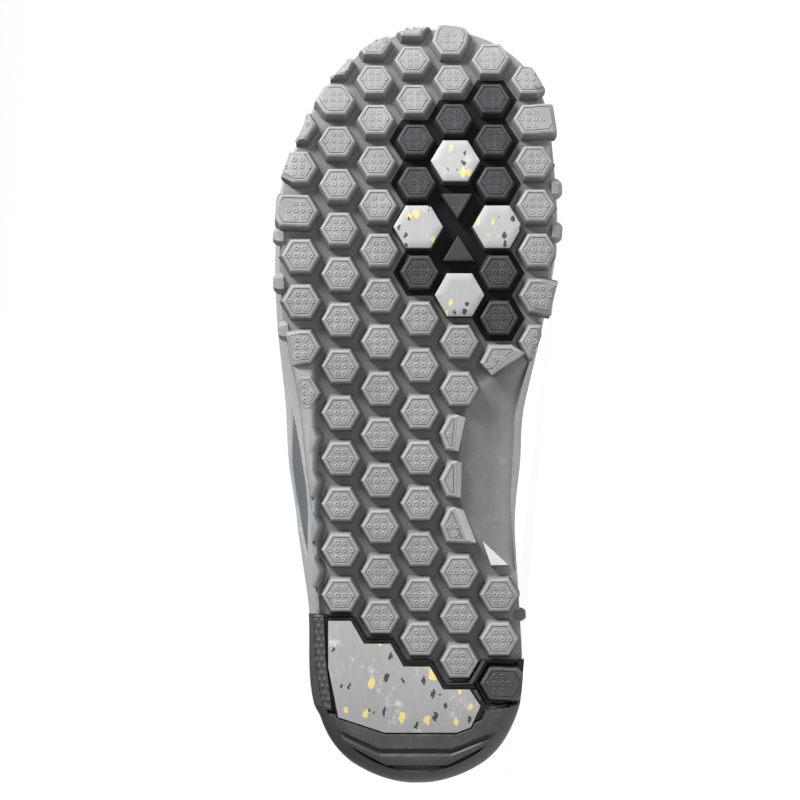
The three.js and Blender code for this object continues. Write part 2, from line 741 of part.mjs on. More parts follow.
const collarCuff = lastForm(fit + cuffWall, 0).subtract(lastForm(fit, 0)).intersect(collarBand());

// Footbed on the lasting margin, cut from the upper's inside
const footbedLow = fit + upperWall + fit;
const insole = lastForm(-upperWall - fit, 0).intersect(flatPlate(
  0,
  (x) => soleTop(x) + footbedLow,
  (x) => soleTop(x) + footbedLow + footbedDepth,
));

// Assembly

const shoe = new THREE.Group();

function addPiece(name, body, finish) {
  const { numProp, vertProperties, triVerts } = body.getMesh();
  const geometry = new THREE.BufferGeometry();
  geometry.setAttribute("position", new THREE.BufferAttribute(new Float32Array(vertProperties), numProp));
  geometry.setIndex(new THREE.BufferAttribute(new Uint32Array(triVerts), 1));
  geometry.computeVertexNormals();
  const mesh = new THREE.Mesh(geometry, new THREE.MeshStandardMaterial(finishes[finish]));
  mesh.name = name;
  shoe.add(mesh);
}

const pieces = [
  { name: "outsole", body: outsole, finish: "greyRubber", weight: weights.rubber },
  { name: "forefoot_insert", body: forefootInsert, finish: "darkRubber", weight: weights.rubber },
  ...gripPads.map((body, i) => (
    { name: `grip_pad_${i + 1}`, body, finish: "paleGrip", weight: weights.rubber })),
  { name: "heel_piece", body: heelPiece, finish: "darkRubber", weight: weights.rubber },
  { name: "heel_pad", body: heelPad, finish: "paleGrip", weight: weights.rubber },
  { name: "midsole", body: midsole, finish: "paleFoam", weight: weights.foam },
  { name: "side_badge", body: sideBadge, finish: "plainBadge", weight: weights.rubber },
  { name: "upper", body: upper, finish: "shellCloth", weight: weights.cloth },
  { name: "toe_cap", body: toeCap, finish: "overlayRubber", weight: weights.rubber },
  { name: "heel_counter", body: heelCounter, finish: "overlayRubber", weight: weights.rubber },
  { name: "collar_cuff", body: collarCuff, finish: "shellCloth", weight: weights.cloth },
  { name: "insole", body: insole, finish: "footbedFelt", weight: weights.foam },
];
pieces.forEach(({ name, body, finish }) => addPiece(name, body, finish));

// Centre of mass from the weighted pieces
function balancePoint() {
  const total = new THREE.Vector3();
  let mass = 0;
  for (const { body, weight } of pieces) {
    const { vertProperties: v, triVerts } = body.getMesh();
    const corner = (i) => new THREE.Vector3(v[3 * i], v[3 * i + 1], v[3 * i + 2]);
    for (let i = 0; i < triVerts.length; i += 3) {
      const [a, b, c] = [corner(triVerts[i]), corner(triVerts[i + 1]), corner(triVerts[i + 2])];
      const part = weight * a.dot(new THREE.Vector3().crossVectors(b, c)) / 6;
      mass += part;
      total.addScaledVector(a.add(b).add(c), part / 4);
    }
  }
  return total.divideScalar(mass);
}

// Floor plane under the balance point, as the slopes of y over x and z: the lowest plane that clears the
// medial side, found by narrowing first one slope and then the other
function restSlopes() {
  const balance = balancePoint();
  const medial = [];
  for (const { body } of pieces) {
    const { vertProperties: v } = body.getMesh();
    for (let i = 0; i < v.length; i += 3) {
      if (v[i + 1] > ballWidth / 4) {
        medial.push([v[i] - balance.x, v[i + 1], v[i + 2] - balance.z]);
      }
    }
  }
  const reach = (b, c) => medial.reduce((most, [x, y, z]) => Math.max(most, y - b * x - c * z), -Infinity);
  const narrow = (cost) => {
    let low = -0.5;
    let high = 0.5;
    for (let i = 0; i < 40; i += 1) {
      const third = (high - low) / 3;
      if (cost(low + third) < cost(high - third)) {
        high -= third;
      } else {
        low += third;
      }
    }
    return (low + high) / 2;
  };
  const bestAcross = (b) => narrow((c) => reach(b, c));
  const alongSlope = narrow((b) => reach(b, bestAcross(b)));
  return [alongSlope, bestAcross(alongSlope)];
}

const [restAlong, restUp] = restSlopes();
const down = new THREE.Vector3(-restAlong, 1, -restUp).normalize();
const ahead = new THREE.Vector3(1, 0, 0).addScaledVector(down, -down.x).normalize();
const upward = down.clone().negate();
const turned = new THREE.Matrix4().makeBasis(ahead, new THREE.Vector3().crossVectors(upward, ahead), upward);
shoe.quaternion.setFromRotationMatrix(turned.transpose());
shoe.updateMatrixWorld(true);
const box = new THREE.Box3().setFromObject(shoe, true);
const middle = box.getCenter(new THREE.Vector3());
shoe.position.set(-middle.x, -middle.y, -box.min.z);

const boot = new THREE.Group();
boot.add(shoe);

export default boot;
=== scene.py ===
"""A winter boot for the right foot, lying on its medial side, seen square on to its sole.

Shapes are worked out in millimetres in the shoe's own frame, where X runs from heel to toe, Y to the medial
side and Z up from the tread, and are then laid on the floor in metres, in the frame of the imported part.
"""

import json
import logging
import math
from dataclasses import dataclass, field
from enum import Enum

import bmesh
import bpy
import numpy as np
from mathutils import Matrix, Vector
from mathutils.geometry import tessellate_polygon


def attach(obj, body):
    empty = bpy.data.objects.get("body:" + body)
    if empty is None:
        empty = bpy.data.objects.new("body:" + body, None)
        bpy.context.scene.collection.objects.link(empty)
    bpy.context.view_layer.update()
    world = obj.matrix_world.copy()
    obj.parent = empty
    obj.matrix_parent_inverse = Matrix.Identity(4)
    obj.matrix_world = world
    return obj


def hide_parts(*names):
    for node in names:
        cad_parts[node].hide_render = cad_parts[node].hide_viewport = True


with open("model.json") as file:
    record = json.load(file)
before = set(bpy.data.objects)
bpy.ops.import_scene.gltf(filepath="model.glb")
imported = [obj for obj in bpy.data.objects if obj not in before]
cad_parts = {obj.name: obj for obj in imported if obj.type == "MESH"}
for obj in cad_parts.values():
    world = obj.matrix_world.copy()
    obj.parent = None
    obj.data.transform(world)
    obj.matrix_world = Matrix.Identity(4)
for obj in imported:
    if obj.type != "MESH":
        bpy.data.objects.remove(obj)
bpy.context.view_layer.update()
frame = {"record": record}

LOG = logging.getLogger("boot")
MM = 0.001
FIT = 0.3


class Side(Enum):
    """The two long sides of the sole, as the sign of Y."""

    LATERAL = -1
    MEDIAL = 1


# Shapes from short tables


def smooth_table(places: np.ndarray, values: np.ndarray, at: np.ndarray) -> np.ndarray:
    """Cubic Hermite curve through a table, held flat past its ends.

    Args:
        places: where each row stands, rising.
        values: the value of each row.
        at: where to read the curve.

    Returns:
        The values at those places.
    """
    at = np.clip(np.asarray(at, float), places[0], places[-1])
    first = np.clip(np.searchsorted(places, at, side="left") - 1, 0, len(places) - 2)
    rows = np.arange(len(places))
    before, after = np.maximum(rows - 1, 0), np.minimum(rows + 1, len(places) - 1)
    slopes = (values[after] - values[before]) / (places[after] - places[before])
    span = places[first + 1] - places[first]
    s = (at - places[first]) / span
    s2, s3 = s * s, s * s * s
    return (values[first] * (2 * s3 - 3 * s2 + 1) + slopes[first] * span * (s3 - 2 * s2 + s)
            + values[first + 1] * (3 * s2 - 2 * s3) + slopes[first + 1] * span * (s3 - s2))


def ease(value: np.ndarray, low: float, high: float) -> np.ndarray:
    """Smooth step that goes from 0 at low to 1 at high, with low above high for a falling one."""
    t = np.clip((np.asarray(value, float) - low) / (high - low), 0.0, 1.0)
    return t * t * (3 - 2 * t)


def ripple(x: np.ndarray, y: np.ndarray, wave: float, seed: int) -> np.ndarray:
    """Slow, even unevenness from -1 to 1: the mean of four sine waves in turned directions."""
    rng = np.random.default_rng(seed)
    total = np.zeros(np.broadcast(x, y).shape)
    for turn in rng.uniform(0, math.pi, 4):
        phase = rng.uniform(0, 2 * math.pi)
        total += np.sin((x * math.cos(turn) + y * math.sin(turn)) * 2 * math.pi / wave + phase)
    return total / 4


def polygon_distance(x: np.ndarray, y: np.ndarray, corners: np.ndarray) -> np.ndarray:
    """Distance to the edges of a polygon, positive inside and negative outside.

    Args:
        x: places along the sole.
        y: places across it.
        corners: the polygon's corners, one row each.

    Returns:
        The signed distances: the least distance to an edge, with the sign of the even-odd rule.
    """
    best = np.full(x.shape, np.inf)
    inside = np.zeros(x.shape, bool)
    for (ax, ay), (bx, by) in zip(corners, np.roll(corners, -1, axis=0)):
        dx, dy = bx - ax, by - ay
        along = np.clip(((x - ax) * dx + (y - ay) * dy) / max(dx * dx + dy * dy, 1e-12), 0, 1)
        best = np.minimum(best, np.hypot(x - ax - along * dx, y - ay - along * dy))
        crosses = (ay > y) != (by > y)
        inside ^= crosses & (x < ax + (y - ay) * dx / (dy if abs(dy) > 1e-12 else 1e-12))
    return np.where(inside, best, -best)


def path_distance(x: np.ndarray, y: np.ndarray, path: np.ndarray) -> np.ndarray:
    """Least distance from places on the sole to an open path of straight stretches."""
    best = np.full(np.broadcast(x, y).shape, np.inf)
    for (ax, ay), (bx, by) in zip(path[:-1], path[1:]):
        dx, dy = bx - ax, by - ay
        along = np.clip(((x - ax) * dx + (y - ay) * dy) / (dx * dx + dy * dy), 0, 1)
        best = np.minimum(best, np.hypot(x - ax - along * dx, y - ay - along * dy))
    return best


class DistanceMap:
    """Signed distance to a polygon on a fine grid, read between its nodes by bilinear mixing."""

    def __init__(self, corners: np.ndarray, step: float = 0.8) -> None:
        """Fills the grid over the whole sole.

        Args:
            corners: the polygon's corners.
            step: the spacing of the grid in millimetres.
        """
        self.step = step
        self.x = np.arange(-16.0, 336.0, step)
        self.y = np.arange(-84.0, 84.0, step)
        self.values = polygon_distance(*np.meshgrid(self.x, self.y, indexing="ij"), corners)

    def __call__(self, x: np.ndarray, y: np.ndarray) -> np.ndarray:
        """Signed distance at places given in the shoe's frame."""
        u = np.clip((np.asarray(x) - self.x[0]) / self.step, 0, len(self.x) - 1.001)
        v = np.clip((np.asarray(y) - self.y[0]) / self.step, 0, len(self.y) - 1.001)
        i, j = u.astype(int), v.astype(int)
        s, t = u - i, v - j
        grid = self.values
        low = grid[i, j] * (1 - t) + grid[i, j + 1] * t
        high = grid[i + 1, j] * (1 - t) + grid[i + 1, j + 1] * t
        return low * (1 - s) + high * s


# Outline of the sole: station, lateral and medial edge, tread edge, lateral and medial flare
OUTLINE = np.array([
    (0.0255, 0.224, 0.228, 1.2, 0.3, 0.25),
    (0.104, 0.349, 0.363, 0.9, 0.35, 0.15),
    (0.207, 0.363, 0.368, 0.6, 0.5, 0.15),
    (0.339, 0.382, 0.342, 0.5, 0.9, 0.2),
    (0.417, 0.404, 0.346, 0.5, 1.0, 0.2),
    (0.497, 0.43, 0.364, 0.55, 0.8, 0.2),
    (0.6, 0.487, 0.447, 0.7, 0.4, 0.2),
    (0.707, 0.5, 0.498, 0.8, 0.3, 0.2),
    (0.787, 0.482, 0.497, 0.8, 0.25, 0.2),
    (0.841, 0.43, 0.487, 0.8, 0.25, 0.2),
    (0.9255, 0.311, 0.434, 0.8, 0.25, 0.2),
    (0.982, 0.136, 0.272, 0.8, 0.25, 0.25),
])

# Inner edge of the smooth arch: station as a share of length, edge as a share of the ball width
ARCH = np.array([
    (0.263, 0.4), (0.28, 0.292), (0.309, 0.204), (0.341, 0.157), (0.38, 0.132),
    (0.445, 0.139), (0.496, 0.168), (0.525, 0.239), (0.538, 0.346), (0.558, 0.47),
])


@dataclass(frozen=True)
class Sole:
    """Form of the sole, from its named sizes in millimetres."""

    length: float = 314.0
    ball: float = 114.0
    heel_stack: float = 31.0
    ball_stack: float = 25.0
    depth: float = 11.0
    spring: float = 27.0
    spring_start: float = 0.645
    edge_radius: float = 10.0
    flare: float = 8.0
    drift: float = 3.4

    @property
    def spring_from(self) -> float:
        """Place where the toe starts to rise."""
        return self.spring_start * self.length

    @property
    def spring_rate(self) -> float:
        """Rise of the toe for each squared millimetre past its start."""
        return self.spring / (self.length - self.spring_from) ** 2

    def column(self, index: int, share: np.ndarray) -> np.ndarray:
        """Reads one column of the outline table at a share of the length."""
        return smooth_table(OUTLINE[:, 0], OUTLINE[:, index], share)

    def rise(self, x: np.ndarray) -> np.ndarray:
        """Height of the curved tread: a parabola past the start of the toe spring."""
        return self.spring_rate * np.maximum(x - self.spring_from, 0) ** 2

    def top(self, x: np.ndarray) -> np.ndarray:
        """Height of the midsole's top: the stack falls from heel to ball, then rises with the toe."""
        fall = ease(np.asarray(x) / self.length, 0.15, 0.6)
        return self.heel_stack + (self.ball_stack - self.heel_stack) * fall + self.rise(x)

    def outline(self, turn: np.ndarray, side: np.ndarray) -> tuple[np.ndarray, np.ndarray]:
        """Outline of the outsole, a half-width times the sine of the turn, about a drifting centre.

        Args:
            turn: 0 at the heel to pi at the toe.
            side: -1 on the lateral side and 1 on the medial one.

        Returns:
            Places along and across the sole.
        """
        stations = OUTLINE[:, 0]
        ends = 2 * np.sqrt(stations * (1 - stations))
        centre_rows = (OUTLINE[:, 2] - OUTLINE[:, 1]) / 2
        half_rows = (OUTLINE[:, 2] + OUTLINE[:, 1]) / 2 / ends
        share = (1 - np.cos(turn)) / 2
        centre = smooth_table(stations, centre_rows, share)
        half = smooth_table(stations, half_rows, share) * np.sin(turn)
        return share * self.length, (centre + side * half) * self.ball

    def grown(self, turn: np.ndarray, side: np.ndarray, grow: np.ndarray) -> tuple[np.ndarray, np.ndarray]:
        """Outline moved out by a distance, square to itself."""
        step = 0.004
        x0, y0 = self.outline(turn - step, side)
        x1, y1 = self.outline(turn + step, side)
        size = np.hypot(x1 - x0, y1 - y0)
        x, y = self.outline(turn, side)
        return x - side * grow * (y1 - y0) / size, y + side * grow * (x1 - x0) / size

    def edge_inset(self, share: np.ndarray, height: np.ndarray) -> np.ndarray:
        """How far the rounded tread edge lies inside the outline at a height: a quarter circle."""
        radius = self.edge_radius * self.column(3, share)
        drop = np.maximum(radius - height, 0)
        return radius - np.sqrt(np.maximum(radius * radius - drop * drop, 0))

    def edge_drop(self, x: np.ndarray, inset: np.ndarray) -> np.ndarray:
        """Depth of the rounded tread edge at a distance inside the outline: the same quarter circle."""
        radius = self.edge_radius * self.column(3, x / self.length)
        reach = np.clip(radius - inset, 0, radius)
        return radius - np.sqrt(radius * radius - reach * reach)

    def on_tread(self, along: np.ndarray, across: np.ndarray, depth: np.ndarray) -> np.ndarray:
        """Place on the curved tread, by arc length along it and depth into the sole.

        Args:
            along: distance along the curve of the tread.
            across: distance across.
            depth: distance into the sole, square to the tread.

        Returns:
            Points, with their three coordinates last.
        """
        run = np.maximum(along - self.spring_from, 0)
        rate = 2 * self.spring_rate
        x = run.copy()
        for _ in range(6):
            root = np.sqrt(1 + (rate * x) ** 2)
            x = x - (x * root / 2 + np.arcsinh(rate * x) / (2 * rate) - run) / root
        slope = rate * x
        root = np.sqrt(1 + slope * slope)
        foot = np.minimum(along, self.spring_from) + x
        moved = self.drift * np.maximum(foot - self.spring_from, 0) / (self.length - self.spring_from)
        parts = (foot - depth * slope / root, across - moved, self.rise(foot) + depth / root)
        return np.stack(np.broadcast_arrays(*parts), axis=-1)

    def outline_polygon(self, count: int = 260) -> np.ndarray:
        """Corners of the outline, lateral side first."""
        turn = np.linspace(0.01, math.pi - 0.01, count)
        lateral = np.stack(self.outline(turn, np.full(count, -1.0)), axis=1)
        medial = np.stack(self.outline(turn, np.full(count, 1.0)), axis=1)
        return np.concatenate([lateral, medial[::-1]])

    def arch_polygon(self) -> np.ndarray:
        """Corners of the smooth arch, from its inner edge out past the medial side."""
        stations = np.linspace(ARCH[0, 0], ARCH[-1, 0], 60)
        inner = np.stack([stations * self.length,
                          smooth_table(ARCH[:, 0], ARCH[:, 1], stations) * self.ball], axis=1)
        outer = np.array([(ARCH[-1, 0] * self.length, self.ball), (ARCH[0, 0] * self.length, self.ball)])
        return np.concatenate([inner, outer])


@dataclass(frozen=True)
class Grid:
    """The hexagonal grid of the tread, in millimetres."""

    pitch: float = 18.6
    start: float = 152.1
    centre: float = 0.8

    def cell(self, column: int, row: int) -> tuple[float, float]:
        """Centre of a cell, odd columns half a pitch ahead."""
        shift = 0.5 if column % 2 else 0.0
        return self.start + self.pitch * (row + shift), self.centre + self.pitch * math.sqrt(3) / 2 * column

    def corners(self, column: int, row: int, width: float) -> np.ndarray:
        """Corners of a cell's hexagon, two of them pointing to the sides."""
        angle = np.arange(6) * math.pi / 3
        reach = width / math.sqrt(3)
        x, y = self.cell(column, row)
        return np.stack([x + reach * np.sin(angle), y + reach * np.cos(angle)], axis=1)


SOLE = Sole()
GRID = Grid()
FOREFOOT_LUGS = [(0, 3), (0, 5), (0, 6), (1, 6), (2, 2), (2, 3), (2, 5), (2, 6), (2, 7)]
FOREFOOT_PADS = [(0, 4), (1, 2), (1, 5), (2, 4)]
FOREFOOT_WEDGES = [(1, 3, 1), (1, 4, -1)]
HEEL_BORDER = [(-2, -4), (-1, -5), (0, -5), (1, -6), (2, -5)]
HEEL_LUG = (2, -6)
HEEL_PAD_ARC = np.array([
    (0.1, 0.224), (0.072, 0.189), (0.065, 0.139), (0.065, -0.118), (0.085, -0.285), (0.15, -0.321),
])
HEEL_GROOVES = [
    np.array([(21.6, -33.0), (13.8, -15.6), (13.8, 13.7), (21.0, 31.7)]),
    np.array([(15.4, -28.7), (7.0, -13.1), (7.0, 11.8), (16.0, 29.8)]),
    np.array([(5.7, -19.3), (2.6, -11.3), (2.6, 10.6), (5.4, 19.3)]),
]
STRIP_GROOVE = np.array([(71.0, -37.6), (50.0, -36.7), (29.5, -34.2)])
STRIP_FOOT = np.array([(30.0, -48.0), (28.4, -33.0)])
HEEL_BEAD = np.array([(25.7, 26.8), (29.2, 28.2), (30.1, 37.6), (27.8, 40.6)])
HEEL_PAD_RIM = 2.4

# Sunk corner between the pad and the heel lug
HEEL_CORNER = np.array([
    (31.9, 25.2), (23.9, 21.7), (25.6, 25.9), (29.3, 27.7), (30.4, 37.2), (28.6, 44.0), (36.0, 44.0), (36.0, 27.0),
])

# Tips of the half-buried lugs that stand out of the lateral rail
BURIED_TIPS = np.array([(140.4, -41.0), (122.5, -40.8), (104.5, -40.4), (86.2, -39.9)])

# One of them, about its tip: corners of its face and of its foot
BURIED_FACE = np.array([(-6.2, -2.2), (-6.2, -3.0), (5.7, -3.0), (5.7, -2.5), (0.0, 0.0)])
BURIED_FOOT = np.array([(-7.0, 1.3), (-7.0, -3.0), (7.9, -3.0), (7.9, -1.3), (0.6, 2.7)])

# Lugs that the arch cuts: corners of the face, the last two or three along the cut, and how far each runs out
ARCH_LUGS = (
    np.array([(149.1, 13.0, 0.0), (149.7, 16.5, 3.0), (135.3, 15.2, 1.3), (135.9, 11.8, 0.0), (142.4, 9.3, 0.0)]),
    np.array([(130.4, 13.0, 0.0), (131.0, 15.9, 2.0), (116.4, 16.1, 1.4), (117.0, 12.0, 0.0), (123.3, 9.3, 0.0)]),
    np.array([(111.4, 12.7, 0.0), (112.3, 14.8, 3.8), (98.8, 20.1, 3.8), (97.9, 19.3, 0.0), (98.3, 12.0, 0.0),
              (104.9, 9.6, 0.0)]),
    np.array([(177.8, 29.5, 0.0), (177.8, 38.2, 0.0), (175.7, 41.3, 2.6), (171.3, 34.8, 2.2), (166.0, 30.1, 0.8),
              (170.9, 25.8, 0.0)]),
)
ARCH_CELLS = [(1, -1), (1, -2), (1, -3), (2, 1)]

# Lugs at the edge: cell, sweep outwards and reach past the outline, in millimetres
SWEPT = {
    (-3, 1): (4.0, -0.8), (-3, 0): (4.0, -0.8), (-3, 4): (4.0, 1.8), (-3, 5): (7.0, 1.2), (-2, 7): (1.5, 0.8),
    (1, 8): (4.0, 1.2), (3, 7): (5.0, 1.2), (3, 6): (5.0, 2.4), (3, 2): (6.0, 2.6), (3, 1): (8.0, 1.2),
    (2, 8): (1.5, 0.8),
}


def border_corners() -> np.ndarray:
    """Corners of the heel piece's front, along the heel-side edges of its neighbour cells."""
    rows = []
    for column, row in HEEL_BORDER:
        corners = GRID.corners(column, row, GRID.pitch)
        low = corners[corners[:, 0] < GRID.cell(column, row)[0] - GRID.pitch / 4]
        rows.append(low[np.argsort(low[:, 1])])
    return np.concatenate(rows)


def heel_polygon() -> np.ndarray:
    """Corners of the heel piece's region, past the sole on the other three sides."""
    front = border_corners()
    far = SOLE.ball
    ends = np.array([(front[-1, 0], far), (-far, far), (-far, -far), (front[0, 0], -far)])
    return np.concatenate([front, ends])


def heel_pad_polygon() -> np.ndarray:
    """Corners of the speckled heel pad."""
    inner = border_corners()[1:-2] - np.array([HEEL_PAD_RIM, HEEL_PAD_RIM / 2])
    back = HEEL_PAD_ARC * np.array([SOLE.length, SOLE.ball])
    start = np.array([(inner[0, 0], back[-1, 1])])
    return np.concatenate([start, inner, back])


def offset_polygon(corners: np.ndarray, grow: float) -> np.ndarray:
    """Polygon with each edge moved out by a distance, its corners mitred."""
    area = np.sum(corners[:, 0] * np.roll(corners[:, 1], -1) - np.roll(corners[:, 0], -1) * corners[:, 1])
    points = corners if area > 0 else corners[::-1]
    before = points - np.roll(points, 1, axis=0)
    after = np.roll(points, -1, axis=0) - points
    before /= np.linalg.norm(before, axis=1, keepdims=True)
    after /= np.linalg.norm(after, axis=1, keepdims=True)
    miter = grow / (1 + np.sum(before * after, axis=1, keepdims=True))
    total = before + after
    return points + np.stack([total[:, 1], -total[:, 0]], axis=1) * miter


OUTLINE_MAP = DistanceMap(SOLE.outline_polygon())
ARCH_MAP = DistanceMap(SOLE.arch_polygon())
HEEL_MAP = DistanceMap(heel_polygon())


def insert_distance(x: np.ndarray, y: np.ndarray) -> np.ndarray:
    """Signed distance into the dark forefoot piece: the best of its cells, on the flattened tread."""
    cells = FOREFOOT_LUGS + FOREFOOT_PADS + [(c, r) for c, r, _ in FOREFOOT_WEDGES]
    best = np.full(np.broadcast(x, y).shape, -1e3)
    angle = (np.arange(6) + 0.5) * math.pi / 3
    for column, row in cells:
        cx, cy, _ = SOLE.on_tread(*(np.array([v]) for v in GRID.cell(column, row)), np.zeros(1))[0]
        reach = [(x - cx) * math.sin(a) + (y - cy) * math.cos(a) for a in angle]
        best = np.maximum(best, GRID.pitch / 2 - np.max(reach, axis=0))
    return best


# Meshes


@dataclass
class Placement:
    """Turns points of the shoe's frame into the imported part's frame."""

    turn: np.ndarray
    shift: np.ndarray

    @classmethod
    def from_record(cls, record: dict) -> "Placement":
        """Works out the placement from the two flat faces that the record states on the tread.

        Args:
            record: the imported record.

        Returns:
            The placement, whose X axis is turned about the tread's normal until both faces fit.
        """
        mounts = {m["name"]: m for m in record["mounts"]}
        heel = np.array(mounts["heel_stand"]["pos_m"])
        waist = np.array(mounts["waist_stand"]["pos_m"])
        up = -np.array(mounts["waist_stand"]["axis"], float)
        up /= np.linalg.norm(up)
        heel_own = np.array([40.0, -5.0, FIT])
        waist_own = np.array([*GRID.cell(0, 0), 0.0])
        along = waist - heel
        along -= up * (along @ up)
        along /= np.linalg.norm(along)
        own = waist_own[:2] - heel_own[:2]
        angle = math.atan2(own[1], own[0])
        ahead = along * math.cos(angle) - np.cross(up, along) * math.sin(angle)
        turn = np.stack([ahead, np.cross(up, ahead), up], axis=1)
        return cls(turn, waist - turn @ (waist_own * MM))

    def __call__(self, points: np.ndarray) -> np.ndarray:
        """Points in metres in the part's frame, from millimetres in the shoe's."""
        return points @ (self.turn.T * MM) + self.shift


PLACE = Placement.from_record(frame["record"])


@dataclass
class Sheet:
    """Vertices and faces of one piece, gathered from grids of points."""

    points: list[np.ndarray] = field(default_factory=list)
    quads: list[np.ndarray] = field(default_factory=list)
    triangles: list[np.ndarray] = field(default_factory=list)
    shades: list[np.ndarray] = field(default_factory=list)
    count: int = 0

    def add_points(self, points: np.ndarray, shade: np.ndarray | float) -> np.ndarray:
        """Adds points with their shade and returns their numbers, in the shape of the grid."""
        flat = points.reshape(-1, 3)
        self.points.append(flat)
        self.shades.append(np.broadcast_to(np.asarray(shade, float), points.shape[:-1]).reshape(-1))
        numbers = np.arange(self.count, self.count + len(flat)).reshape(points.shape[:-1])
        self.count += len(flat)
        return numbers

    def add_quads(self, numbers: np.ndarray) -> None:
        """Joins each grid of numbers, whose last two axes are rows and columns, by quads."""
        a, b = numbers[..., :-1, :-1], numbers[..., :-1, 1:]
        c, d = numbers[..., 1:, 1:], numbers[..., 1:, :-1]
        self.quads.append(np.stack([a, b, c, d], axis=-1).reshape(-1, 4))

    def add_fan(self, pole: np.ndarray, ring: np.ndarray) -> None:
        """Joins poles to closed rings, whose numbers are on the last axis."""
        following = np.roll(ring, -1, axis=-1)
        poles = np.broadcast_to(pole[..., None], ring.shape)
        self.triangles.append(np.stack([poles, ring, following], axis=-1).reshape(-1, 3))

    def add_tube(self, points: np.ndarray, shade: np.ndarray | float = 0.0) -> None:
        """Adds a tube of closed rings along the first axis, with a fan to a middle point at both ends."""
        numbers = self.add_points(points, shade)
        self.add_quads(np.concatenate([numbers, numbers[:, :1]], axis=1))
        shades = np.broadcast_to(np.asarray(shade, float), points.shape[:-1])
        for end, ring in ((0, numbers[0][::-1]), (-1, numbers[-1])):
            middle = points[end].mean(axis=0)[None]
            pole = self.add_points(middle, shades[end].mean())
            self.add_fan(pole[0:1][0], ring)

    def build(self, name: str, sharp: float = 40.0, inward: bool = False) -> bpy.types.Object:
        """Makes the mesh object at the origin, with its place in its vertices and its faces outwards.

        Args:
            name: name of the piece.
            sharp: least angle of an edge that stays sharp, in degrees.
            inward: whether the piece is a skin that is seen from its inside.

        Returns:
            The new object, linked to the scene.
        """
        points = PLACE(np.concatenate(self.points))
        quads = np.concatenate(self.quads) if self.quads else np.zeros((0, 4), int)
        triangles = np.concatenate(self.triangles) if self.triangles else np.zeros((0, 3), int)
        mesh = bpy.data.meshes.new(name)
        mesh.vertices.add(len(points))
        mesh.vertices.foreach_set("co", points.astype(np.float32).ravel())
        loops = np.concatenate([quads.ravel(), triangles.ravel()]).astype(np.int32)
        mesh.loops.add(len(loops))
        mesh.loops.foreach_set("vertex_index", loops)
        starts = np.concatenate([np.arange(len(quads)) * 4,
                                 quads.size + np.arange(len(triangles)) * 3]).astype(np.int32)
        mesh.polygons.add(len(starts))
        mesh.polygons.foreach_set("loop_start", starts)
        mesh.update(calc_edges=True)
        mesh.validate()
        turned = bmesh.new()
        turned.from_mesh(mesh)
        bmesh.ops.recalc_face_normals(turned, faces=turned.faces)
        if inward:
            bmesh.ops.reverse_faces(turned, faces=turned.faces)
        turned.to_mesh(mesh)
        turned.free()
        shade = mesh.attributes.new("shade", "FLOAT", "POINT")
        shade.data.foreach_set("value", np.concatenate(self.shades).astype(np.float32))
        mesh.polygons.foreach_set("use_smooth", np.ones(len(mesh.polygons), bool))
        mesh.set_sharp_from_angle(angle=math.radians(sharp))
        piece = bpy.data.objects.new(name, mesh)
        bpy.context.scene.collection.objects.link(piece)
        return piece


def dress(piece: bpy.types.Object, material: bpy.types.Material, slot: str, *nodes: str) -> None:
    """Gives a piece its material and body, and hides the imported nodes it stands for."""
    piece.data.materials.clear()
    piece.data.materials.append(material)
    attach(piece, "root")
    if nodes:
        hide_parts(*nodes)
    LOG.info("%s: %d faces", piece.name, len(piece.data.polygons))


# Shader node groups and finishes


